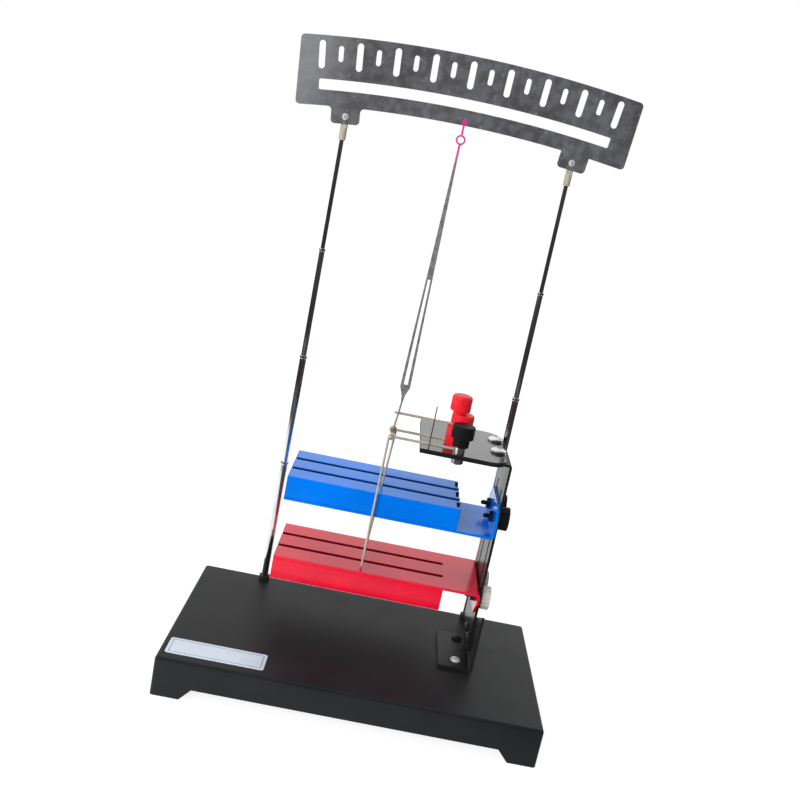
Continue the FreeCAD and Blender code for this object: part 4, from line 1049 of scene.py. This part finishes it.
BASE_PAINT = SprayPaint("base_paint", "base_black", (0.0125, 0.0135, 0.0145), (0.12, 0.12, 0.12), 0.42,
                        1300.0, 0.03 * MM, 0.22, dust=0.04, dusty=(0.2, 0.21, 0.22))
BLACK_STEEL = SprayPaint("black_steel", "black_steel", (0.012, 0.012, 0.013), (0.1, 0.1, 0.1), 0.27,
                         dust=0.04, specular=0.17)
BOLT_BLACK = SprayPaint("bolt_black", "zinc", (0.02, 0.02, 0.021), (0.1, 0.1, 0.1), 0.2, dust=0.1)
BLUE_PAINT = SprayPaint("blue", "blue_paint", (0.0, 0.2, 0.92), (0.02, 0.1, 0.45), 0.14, specular=0.42,
                        sheen=(0.25, 0.9, 1.0), dust=0.006)
RED_PAINT = SprayPaint("red", "red_paint", (0.95, 0.002, 0.036), (0.45, 0.01, 0.05), 0.14, specular=0.52,
                       dust=0.008)
SLEEVE_BLACK = Moulded("sleeve_black", "black_steel", (0.02, 0.02, 0.021), (0.08, 0.08, 0.08), 0.4)
KNOB_BLACK = Moulded("knob_black", "black_plastic", (0.009, 0.009, 0.009), (0.05, 0.05, 0.05), 0.46, 0.2)
KNOB_RED = Moulded("knob_red", "red_plastic", (0.94, 0.014, 0.03), (0.9, 0.13, 0.15), 0.36)
KNOB_CREAM = Moulded("knob_cream", "cream_plastic", (0.84, 0.8, 0.7), (0.62, 0.57, 0.47), 0.36)
INSULATOR = Moulded("insulator", "insulator", (0.16, 0.1, 0.06), (0.3, 0.22, 0.15), 0.5)
SCALE_STEEL = MottledSteel("scale_sheet", "scale_steel", (0.17, 0.178, 0.19), (0.42, 0.43, 0.45),
                           (0.085, 0.078, 0.082))


@dataclass
class Base(Assembly):
    """The folded sheet tray and the blank sticker on it."""

    fold_edge: float = 0.3 * MM
    sticker_edge: float = 0.05 * MM

    def build(self) -> None:
        """Dress the tray and the sticker."""
        low, high = part_box("base_tray")
        paint = replace(BASE_PAINT, edges=(tuple(low), tuple(high)))
        self.refine("base_tray", paint, self.fold_edge)
        low, high = part_box("base_label")
        sticker = Sticker("sticker", "sticker", (low.x, low.y), (high.x, high.y))
        self.refine("base_label", sticker, self.sticker_edge)


@dataclass
class Rods(Assembly):
    """The two telescopic rods: nested tubes with rolled mouths, on their foot sleeves."""

    ring_height: float = 2.2 * MM
    ring_round: float = 0.25 * MM
    groove: float = 0.05 * MM
    ring_reach: float = 0.35 * MM
    running_gap: float = 0.1 * MM
    fitting_edge: float = 0.2 * MM
    sleeve_edge: float = 0.5 * MM
    stud_edge: float = 0.15 * MM
    spread: float = 88 * MM
    foot: Fastener = Fastener(1.5 * MM, nut=5.5 * MM, nut_height=2.4 * MM, pitch=0.5 * MM)

    def upright_piece(self, node: str, outline: Outline) -> bpy.types.Object:
        """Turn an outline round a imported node's own axis and show it in chrome.

        Args:
            node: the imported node.
            outline: (radius, height) corners of the turned piece.

        Returns:
            The piece.
        """
        low, high = part_box(node)
        place = Matrix.Translation(((low.x + high.x) / 2, (low.y + high.y) / 2, 0))
        return self.stand_in(Shape.turned(outline).moved(place), CHROME, node)

    def tube(self, node: str, inner: float) -> bpy.types.Object:
        """One tube with a groove and a rolled ring at its mouth.

        Args:
            node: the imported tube.
            inner: radius of its bore.

        Returns:
            The piece.
        """
        low, high = part_box(node)
        ring = (high.x - low.x) / 2
        wall = ring - self.ring_reach
        top = high.z
        mouth = top - self.ring_height
        bend = self.ring_round
        groove = wall - self.groove
        outline = [(inner, low.z), (wall, low.z), (wall, mouth - 3 * bend), (groove, mouth - 2 * bend),
                   (groove, mouth - bend), (wall, mouth), (ring - bend, mouth), (ring, mouth + bend),
                   (ring, top - 1.6 * bend), (ring - 0.4 * bend, top - 0.6 * bend),
                   (ring - 1.4 * bend, top), (inner + bend, top), (inner, top - bend)]
        return self.upright_piece(node, outline)

    def thin_rod(self, node: str) -> bpy.types.Object:
        """The solid rod at the top, its ends chamfered.

        Args:
            node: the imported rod.

        Returns:
            The piece.
        """
        low, high = part_box(node)
        radius = (high.x - low.x) / 2
        bend = self.ring_round
        outline = [(0, low.z), (radius - bend, low.z), (radius, low.z + bend), (radius, high.z - bend),
                   (radius - bend, high.z), (0, high.z)]
        return self.upright_piece(node, outline)

    def build(self) -> None:
        """Build both rods and dress their feet and end fittings."""
        for side in ("left", "right"):
            for stage in (1, 2, 3):
                low, high = part_box(f"{side}_rod_stage_{stage + 1}")
                inner = (high.x - low.x) / 2 - (self.ring_reach if stage < 3 else 0) + self.running_gap
                self.tube(f"{side}_rod_stage_{stage}", inner)
            self.thin_rod(f"{side}_rod_stage_4")
        self.refine("rod_foot_sleeves", SLEEVE_BLACK, self.sleeve_edge, 3)
        self.refine("rod_foot_studs", ZINC, self.stud_edge)
        self.refine("rod_end_fittings", PALE_BRASS, self.fitting_edge)
        low, high = part_box("rod_foot_nuts")
        spots = [Matrix.Translation((x, (low.y + high.y) / 2, low.z)) for x in (-self.spread, self.spread)]
        nuts = several(self.foot.hex_nut(), spots)
        self.stand_in(nuts, ZINC, "rod_foot_nuts")


@dataclass
class ScaleRow(Assembly):
    """The slotted scale plate with its screws and nuts."""

    fixing: Fastener = Fastener(1.25 * MM, 2.6 * MM, 1.6 * MM, 5 * MM, 2 * MM, 0.45 * MM)
    screw_x: float = 88 * MM
    screw_z: float = 418.2 * MM
    plate_edge: float = 0.12 * MM

    def build(self) -> None:
        """Dress the plate and build its fixings."""
        self.refine("scale_plate", SCALE_STEEL, self.plate_edge)
        plate, _ = part_box("scale_plate")
        _, high = part_box("scale_screws")
        sides = (-self.screw_x, self.screw_x)
        seats = [facing(FRONT, Vector((x, plate.y, self.screw_z))) for x in sides]
        screws = several(self.fixing.screw(high.y - plate.y, recess=0.4), seats)
        self.stand_in(screws, SATIN_ZINC, "scale_screws")
        _, high = part_box("scale_nuts")
        seats = [facing(FRONT, Vector((x, high.y, self.screw_z))) for x in sides]
        nuts = several(self.fixing.hex_nut(), seats)
        self.stand_in(nuts, ZINC, "scale_nuts")


@dataclass
class FootBracket(Assembly):
    """The angle that carries the upright, with its foot screws, bolts and nuts."""

    fixing: Fastener = Fastener(2 * MM, 4 * MM, 2.4 * MM, 7 * MM, 3 * MM)
    front_screw: Pair = (77 * MM, -7 * MM)
    rear_screw: Pair = (79 * MM, 28 * MM)
    bolt_rows: Pair = (14 * MM, 31 * MM)
    bolt_height: float = 43 * MM
    foot_seat: float = 32 * MM
    fold_edge: float = 0.35 * MM

    def build(self) -> None:
        """Dress the angle and build its fixings."""
        self.refine("foot_bracket", BLACK_STEEL, self.fold_edge)
        for node, spot, finish in (("bracket_front_screw", self.front_screw, SATIN_ZINC),
                                   ("bracket_rear_screw", self.rear_screw, KNOB_BLACK)):
            low, _ = part_box(node)
            screw = self.fixing.screw(self.foot_seat - low.z, recess=0.4)
            screw.moved(facing(UP, Vector((*spot, self.foot_seat))))
            self.stand_in(screw, finish, node)
        low, high = part_box("bracket_bolts")
        seat = low.x + self.fixing.head_height
        places = [facing(LEFT, Vector((seat, y, self.bolt_height))) for y in self.bolt_rows]
        bolts = several(self.fixing.screw(high.x - seat), places)
        self.stand_in(bolts, BOLT_BLACK, "bracket_bolts")
        low, high = part_box("bracket_nuts")
        nut_foot = high.x - self.fixing.nut_height
        places = [facing(RIGHT, Vector((nut_foot, y, self.bolt_height))) for y in self.bolt_rows]
        places += [facing(UP, Vector((*spot, low.z))) for spot in (self.front_screw, self.rear_screw)]
        nuts = several(self.fixing.hex_nut(), places)
        self.stand_in(nuts, ZINC, "bracket_nuts")


@dataclass
class Upright(Assembly):
    """The slotted upright and the terminal panel that is screwed on its flange."""

    dome: Fastener = Fastener(2 * MM, 6.4 * MM, 3.8 * MM, 7 * MM, 3 * MM)
    screw_x: float = 77 * MM
    screw_rows: Pair = (24 * MM, 56 * MM)
    fold_edge: float = 0.3 * MM
    panel_edge: float = 0.15 * MM

    def build(self) -> None:
        """Dress the sheet pieces and build their screws."""
        self.refine("upright", BLACK_STEEL, self.fold_edge)
        _, high = part_box("terminal_panel")
        gloss = GlossSheet("panel_gloss", "panel_black", (0.012, 0.012, 0.013), high.z)
        self.refine("terminal_panel", gloss, self.panel_edge)
        low, high = part_box("panel_screws")
        seat = high.z - self.dome.head_height
        places = [facing(UP, Vector((self.screw_x, y, seat))) for y in self.screw_rows]
        screws = several(self.dome.screw(seat - low.z, edge=0.3, recess=0.35), places)
        self.stand_in(screws, DOME_ZINC, "panel_screws")
        low, _ = part_box("panel_nuts")
        places = [facing(UP, Vector((self.screw_x, y, low.z))) for y in self.screw_rows]
        nuts = several(self.dome.hex_nut(), places)
        self.stand_in(nuts, ZINC, "panel_nuts")


@dataclass
class Posts(Assembly):
    """The black and the red binding post and the steel pin beside them."""

    thread: Fastener = Fastener(2 * MM, nut=8 * MM, nut_height=4 * MM)
    spots: tuple[Pair, ...] = ((45 * MM, -0.3 * MM), (41 * MM, 20.3 * MM))
    bore: float = 2.1 * MM
    socket: float = 13 * MM
    black_neck: float = 6.2 * MM
    black_neck_height: float = 6.5 * MM
    black_radius: float = 8.6 * MM
    flange: float = 8.6 * MM
    flange_aside: float = 3.4 * MM
    flange_height: float = 8 * MM
    red_neck: float = 4.9 * MM
    red_neck_height: float = 1.8 * MM
    neck_sink: float = 0.5 * MM
    red_radius: float = 7.8 * MM
    round_edge: float = 0.9 * MM
    cap_round: float = 2.6 * MM
    ribs: int = 40
    rib_depth: float = 0.16 * MM
    collar_edge: float = 0.35 * MM
    base_edge: float = 0.5 * MM
    pin_edge: float = 0.08 * MM

    def quarter(self, radius: float, top: float, bend: float, steps: int = 6) -> list[Pair]:
        """Outline corners of a rounded upper edge, from the rim up to the top face."""
        turns = [TURN / 4 * part / steps for part in range(steps + 1)]
        return [(radius - bend + bend * math.cos(turn), top - bend + bend * math.sin(turn))
                for turn in turns]

    def cap(self, neck: float, foot: float, shoulder: float, radius: float, top: float,
            bend: float) -> Shape:
        """A turned cap on its neck, bored for the stud, with a finely ribbed rim.

        Args:
            neck: radius of the neck.
            foot: height where the neck starts.
            shoulder: height where the cap starts.
            radius: radius of the cap.
            top: height of the cap's top.
            bend: rounding of its upper edge.

        Returns:
            The cap.
        """
        edge = self.round_edge
        outline = [(self.bore, foot), (neck - 0.4 * edge, foot), (neck, foot + 0.4 * edge),
                   (neck, shoulder), (radius - edge, shoulder),
                   (radius - 0.3 * edge, shoulder + 0.3 * edge), (radius, shoulder + edge),
                   (radius, shoulder + 1.2 * edge), (radius, top - bend - 0.2 * edge),
                   *self.quarter(radius, top, bend),
                   (0.5 * radius, top), (0, top), (0, self.socket), (self.bore, self.socket)]
        shape = Shape.turned(outline, 4 * self.ribs)
        return shape.ribbed(shoulder + 1.1 * edge, top - bend - 0.1 * edge, self.ribs, self.rib_depth)

    def knobs(self) -> None:
        """Build the two knobs that screw down on the studs."""
        low, high = part_box("black_post_knob")
        black = self.cap(self.black_neck, 0, self.black_neck_height, self.black_radius, high.z - low.z,
                         self.round_edge)
        black.moved(Matrix.Translation((*self.spots[0], low.z)))
        self.stand_in(black, KNOB_BLACK, "black_post_knob")
        low, high = part_box("red_post_knob")
        shoulder = self.flange_height + self.red_neck_height
        edge = self.round_edge
        rim = [(0, 0), (self.flange - 0.5 * edge, 0), (self.flange, 0.5 * edge),
               *self.quarter(self.flange, self.flange_height, 2 * edge), (0, self.flange_height)]
        disc = Shape.turned(rim, DISC_STEPS).moved(Matrix.Translation((self.flange_aside, 0, 0)))
        past = self.flange_height + MM
        hole = Shape.turned([(0, -MM), (self.bore, -MM), (self.bore, past), (0, past)], RIM_STEPS)
        foot = self.flange_height - self.neck_sink
        red = self.cap(self.red_neck, foot, shoulder, self.red_radius, high.z - low.z, self.cap_round)
        red.joined(disc.carved(hole)).moved(Matrix.Translation((*self.spots[1], low.z)))
        self.stand_in(red, KNOB_RED, "red_post_knob")

    def build(self) -> None:
        """Dress the posts and build their knobs, studs and nuts."""
        self.refine("black_post_collar", COLLAR_NICKEL, self.collar_edge)
        self.refine("red_post_base", KNOB_RED, self.base_edge, 3)
        self.knobs()
        for node in ("black_post_stud", "red_post_stud"):
            low, high = part_box(node)
            spot = Vector(((low.x + high.x) / 2, (low.y + high.y) / 2, 0))
            stud = Shape.thread(self.thread.shank, low.z, high.z, self.thread.pitch)
            self.stand_in(stud.moved(Matrix.Translation(spot)), PALE_BRASS, node)
        low, _ = part_box("post_nuts")
        nuts = several(self.thread.hex_nut(), [Matrix.Translation((*spot, low.z)) for spot in self.spots])
        self.stand_in(nuts, ZINC, "post_nuts")
        self.refine("steel_pin", DARK_ZINC, self.pin_edge)


@dataclass
class SwingFrame(Assembly):
    """The brass arms, the hanging wire frame and the pointer that swings with it."""

    sleeve_edge: float = 0.2 * MM
    blade_edge: float = 0.1 * MM
    fade: Pair = (44 * MM, 20 * MM)

    def build(self) -> None:
        """Dress the arms, the wire and the pointer."""
        for node in ("front_arm", "back_arm", "top_arm"):
            self.refine(node, BRASS)
        self.refine("conductor", WIRE_BRASS)
        self.refine("axle_sleeve", INSULATOR, self.sleeve_edge)
        self.refine("pointer_stem", STEM_STEEL)
        _, high = part_box("pointer_blade")
        fade_low, fade_high = (high.z - depth for depth in self.fade)
        sheet = PointerSheet("pointer_sheet", "pointer_metal", (0.36, 0.35, 0.36), (0.74, 0.03, 0.27),
                             fade_low, fade_high)
        self.refine("pointer_blade", sheet, self.blade_edge)


class UnitColour(Enum):
    """The two magnet units."""

    BLUE = "blue"
    RED = "red"


UNIT_PAINTS = {UnitColour.BLUE: BLUE_PAINT, UnitColour.RED: RED_PAINT}
UNIT_KNOBS = {UnitColour.BLUE: KNOB_BLACK, UnitColour.RED: KNOB_CREAM}


@dataclass
class MagnetUnit(Assembly):
    """A painted comb carrier with three bars, clamp screws, nuts and fluted knobs."""

    colour: UnitColour = UnitColour.BLUE
    clamp: Fastener = Fastener(2 * MM, nut=8 * MM, nut_height=3.2 * MM)
    groove_lip: float = 0.12 * MM
    notch: Triple = (3.2 * MM, 12 * MM, 2 * MM)
    carrier_edge: float = 0.12 * MM
    bar_edge: float = 0.08 * MM
    knob_edge: float = 0.5 * MM

    def paint(self, node: str, dark_faces: tuple[float, ...] = ()) -> SprayPaint:
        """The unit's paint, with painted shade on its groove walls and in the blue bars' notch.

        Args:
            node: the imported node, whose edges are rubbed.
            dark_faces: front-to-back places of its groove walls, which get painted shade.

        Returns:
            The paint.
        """
        name = self.colour.value
        low, high = part_box(node)
        # The notch at the end of each blue bar gets painted shade.
        pit = ()
        if self.colour is UnitColour.BLUE and "bar" in node:
            length, width, depth = self.notch
            middle = (low.y + high.y) / 2
            pit = ((high.x - length, middle - width / 2, high.z - depth),
                   (high.x, middle + width / 2, high.z))
        return replace(UNIT_PAINTS[self.colour], name=f"{name}_{node}", edges=(tuple(low), tuple(high)),
                       dark_faces=dark_faces, dark_below=high.z - self.groove_lip, dark_pit=pit)

    def build(self) -> None:
        """Dress the painted pieces and build the clamps."""
        name = self.colour.value
        # The carrier gets painted shade along the grooves in front of the middle and rear bars.
        walls = tuple(part_box(f"{name}_bar_{place}")[0].y for place in ("middle", "rear"))
        self.refine(f"{name}_carrier", self.paint(f"{name}_carrier", walls), self.carrier_edge)
        for place in ("front", "middle", "rear"):
            node = f"{name}_bar_{place}"
            low, high = part_box(node)
            # Bar walls that face a neighbour across a groove get painted shade.
            painted_shade = {"front": (high.y,), "middle": (low.y, high.y), "rear": (low.y,)}[place]
            self.refine(node, self.paint(node, painted_shade), self.bar_edge)
        low, high = part_box(f"{name}_clamp_nuts")
        rows = []
        for place in ("front", "rear"):
            node = f"{name}_{place}_screw"
            end, root = part_box(node)
            rows.append(Vector((high.x, (end.y + root.y) / 2, (end.z + root.z) / 2)))
            shank = Shape.thread(self.clamp.shank, 0.0, root.x - end.x, self.clamp.pitch)
            shank.moved(facing(RIGHT, Vector((end.x, rows[-1].y, rows[-1].z))))
            self.stand_in(shank, DARK_ZINC, node)
            knob = f"{name}_{place}_knob"
            self.refine(knob, UNIT_KNOBS[self.colour], self.knob_edge, 3)
        nuts = several(self.clamp.hex_nut(), [facing(LEFT, row) for row in rows])
        self.stand_in(nuts, DARK_ZINC, f"{name}_clamp_nuts")


@dataclass(frozen=True)
class Lamp:
    """A soft square lamp that points at the middle of the object and doesn't show in reflections."""

    name: str
    place: Triple
    size: float
    power: float
    aim: Triple = (0, 0, 0.2)

    def build(self) -> None:
        """Hang the lamp."""
        data = bpy.data.lights.new(self.name, "AREA")
        data.size = self.size
        data.energy = self.power
        lamp = bpy.data.objects.new(self.name, data)
        lamp.location = self.place
        lamp.visible_glossy = False
        lamp.rotation_euler = (Vector(self.place) - Vector(self.aim)).to_track_quat("Z", "Y").to_euler()
        bpy.context.scene.collection.objects.link(lamp)


@dataclass
class Studio:
    """The pale floor, the light and the camera."""

    camera_place: Triple = (-0.01932, -0.67283, 0.38995)
    camera_turn: tuple[float, float, float, float] = (0.78289171, 0.6142567, -0.06845136, 0.0713)
    lens: float = 42.3
    sensor: float = 36.0
    nearest: float = 0.01
    pale_way: Pair = (-0.6, 0.8)
    dim_side: float = 0.05
    room_turn: Pair = (-0.35, 0.1)
    room_rise: Pair = (0.04, 0.2)
    floor_size: float = 12.0
    floor_turn: Pair = (-0.3, 0.05)
    floor_glow: float = 0.82
    floor_shade: float = 0.36
    floor_pale: float = 0.85
    floor_dim: float = 0.06
    floor_near: float = 0.6
    floor_far: float = 1.0
    lamps: tuple[Lamp, ...] = (Lamp("key_lamp", (-0.6, -1.5, 0.7), 1.2, 29.0),
                               Lamp("fill_lamp", (1.2, -0.7, 0.8), 1.0, 2.5))

    def pale_side(self, tree: Tree, across: Wire, along: Wire, turn: Pair) -> Wire:
        """A step from 0 to 1 towards the pale side, behind and to the left."""
        return tree.step(along * self.pale_way[1] + across * self.pale_way[0], *turn)

    def straight(self, tree: Tree, path: bpy.types.Node) -> Wire:
        """Whether a ray comes straight from the camera, through glass or not."""
        return Wire(tree, path.outputs["Is Camera Ray"]).most(
            Wire(tree, path.outputs["Is Transmission Ray"]))

    def floor(self) -> None:
        """A wide pale floor that shows white and keeps the object's shadow."""
        shape = Shape()
        bmesh.ops.create_grid(shape.mesh, x_segments=8, y_segments=8, size=self.floor_size)
        floor = shape.object("floor")
        material = bpy.data.materials.new("studio_floor")
        material.use_nodes = True
        tree = Tree(material.node_tree)
        path = tree.node("ShaderNodeLightPath")
        across, along, _ = tree.axes
        reach = tree.math("SQRT", across * across + along * along, 0.0)
        behind = self.pale_side(tree, across, along, self.floor_turn) * tree.step(
            reach, self.floor_near, self.floor_far, 1.0, 0.0)
        seen = self.straight(tree, path).most(Wire(tree, path.outputs["Is Glossy Ray"]) * behind)
        pale = tree.tint((self.floor_dim,) * 3, (self.floor_pale,) * 3, behind)
        lit = tree.node("ShaderNodeBsdfDiffuse", None, {"Color": pale})
        shade = tree.node("ShaderNodeBsdfDiffuse", None, {"Color": (*(self.floor_shade,) * 3, 1.0)})
        glow = tree.node("ShaderNodeEmission", None, {"Strength": self.floor_glow})
        both = tree.node("ShaderNodeAddShader", None,
                         {0: Wire(tree, shade.outputs[0]), 1: Wire(tree, glow.outputs[0])})
        mixed = tree.node("ShaderNodeMixShader", None,
                          {0: seen, 1: Wire(tree, lit.outputs[0]), 2: Wire(tree, both.outputs[0])})
        tree.node("ShaderNodeOutputMaterial", None, {"Surface": Wire(tree, mixed.outputs[0])})
        floor.data.materials.append(material)

    def room(self) -> None:
        """A white room: bright behind and to the left, dim in front and to the right."""
        world = bpy.data.worlds.new("studio_room")
        bpy.context.scene.world = world
        world.use_nodes = True
        tree = Tree(world.node_tree)
        path = tree.node("ShaderNodeLightPath")
        direct = self.straight(tree, path)
        towards = tree.node("ShaderNodeSeparateXYZ", None,
                            {0: Wire(tree, tree.node("ShaderNodeTexCoord").outputs["Generated"])})
        across, along, upwards = (Wire(tree, socket) for socket in towards.outputs)
        pale = self.pale_side(tree, across, along, self.room_turn) * tree.step(upwards, *self.room_rise)
        level = direct.most(pale * (1.0 - self.dim_side) + self.dim_side)
        sky = tree.node("ShaderNodeBackground", None, {"Color": (1.0, 1.0, 1.0, 1.0), "Strength": level})
        tree.node("ShaderNodeOutputWorld", None, {"Surface": Wire(tree, sky.outputs[0])})

    def camera(self) -> None:
        """Set the camera where the photograph was taken from."""
        data = bpy.data.cameras.new("camera")
        data.lens = self.lens
        data.sensor_width = self.sensor
        data.clip_start = self.nearest
        camera = bpy.data.objects.new("camera", data)
        camera.location = self.camera_place
        camera.rotation_mode = "QUATERNION"
        camera.rotation_quaternion = Quaternion(self.camera_turn)
        bpy.context.scene.collection.objects.link(camera)
        bpy.context.scene.camera = camera
        bpy.context.scene.view_settings.view_transform = "Standard"

    def build(self) -> None:
        """Set the floor, the room, the lamps and the camera."""
        self.floor()
        self.room()
        for lamp in self.lamps:
            lamp.build()
        self.camera()


def main() -> None:
    """Build every sub-assembly, then the studio round it."""
    logging.basicConfig(level=logging.INFO, format="%(name)s: %(message)s")
    for assembly in (Base(), Rods(), ScaleRow(), FootBracket(), Upright(), Posts(), SwingFrame(),
                     MagnetUnit(UnitColour.BLUE), MagnetUnit(UnitColour.RED)):
        assembly.build()
    Studio().build()


if __name__ == "__main__":
    main()
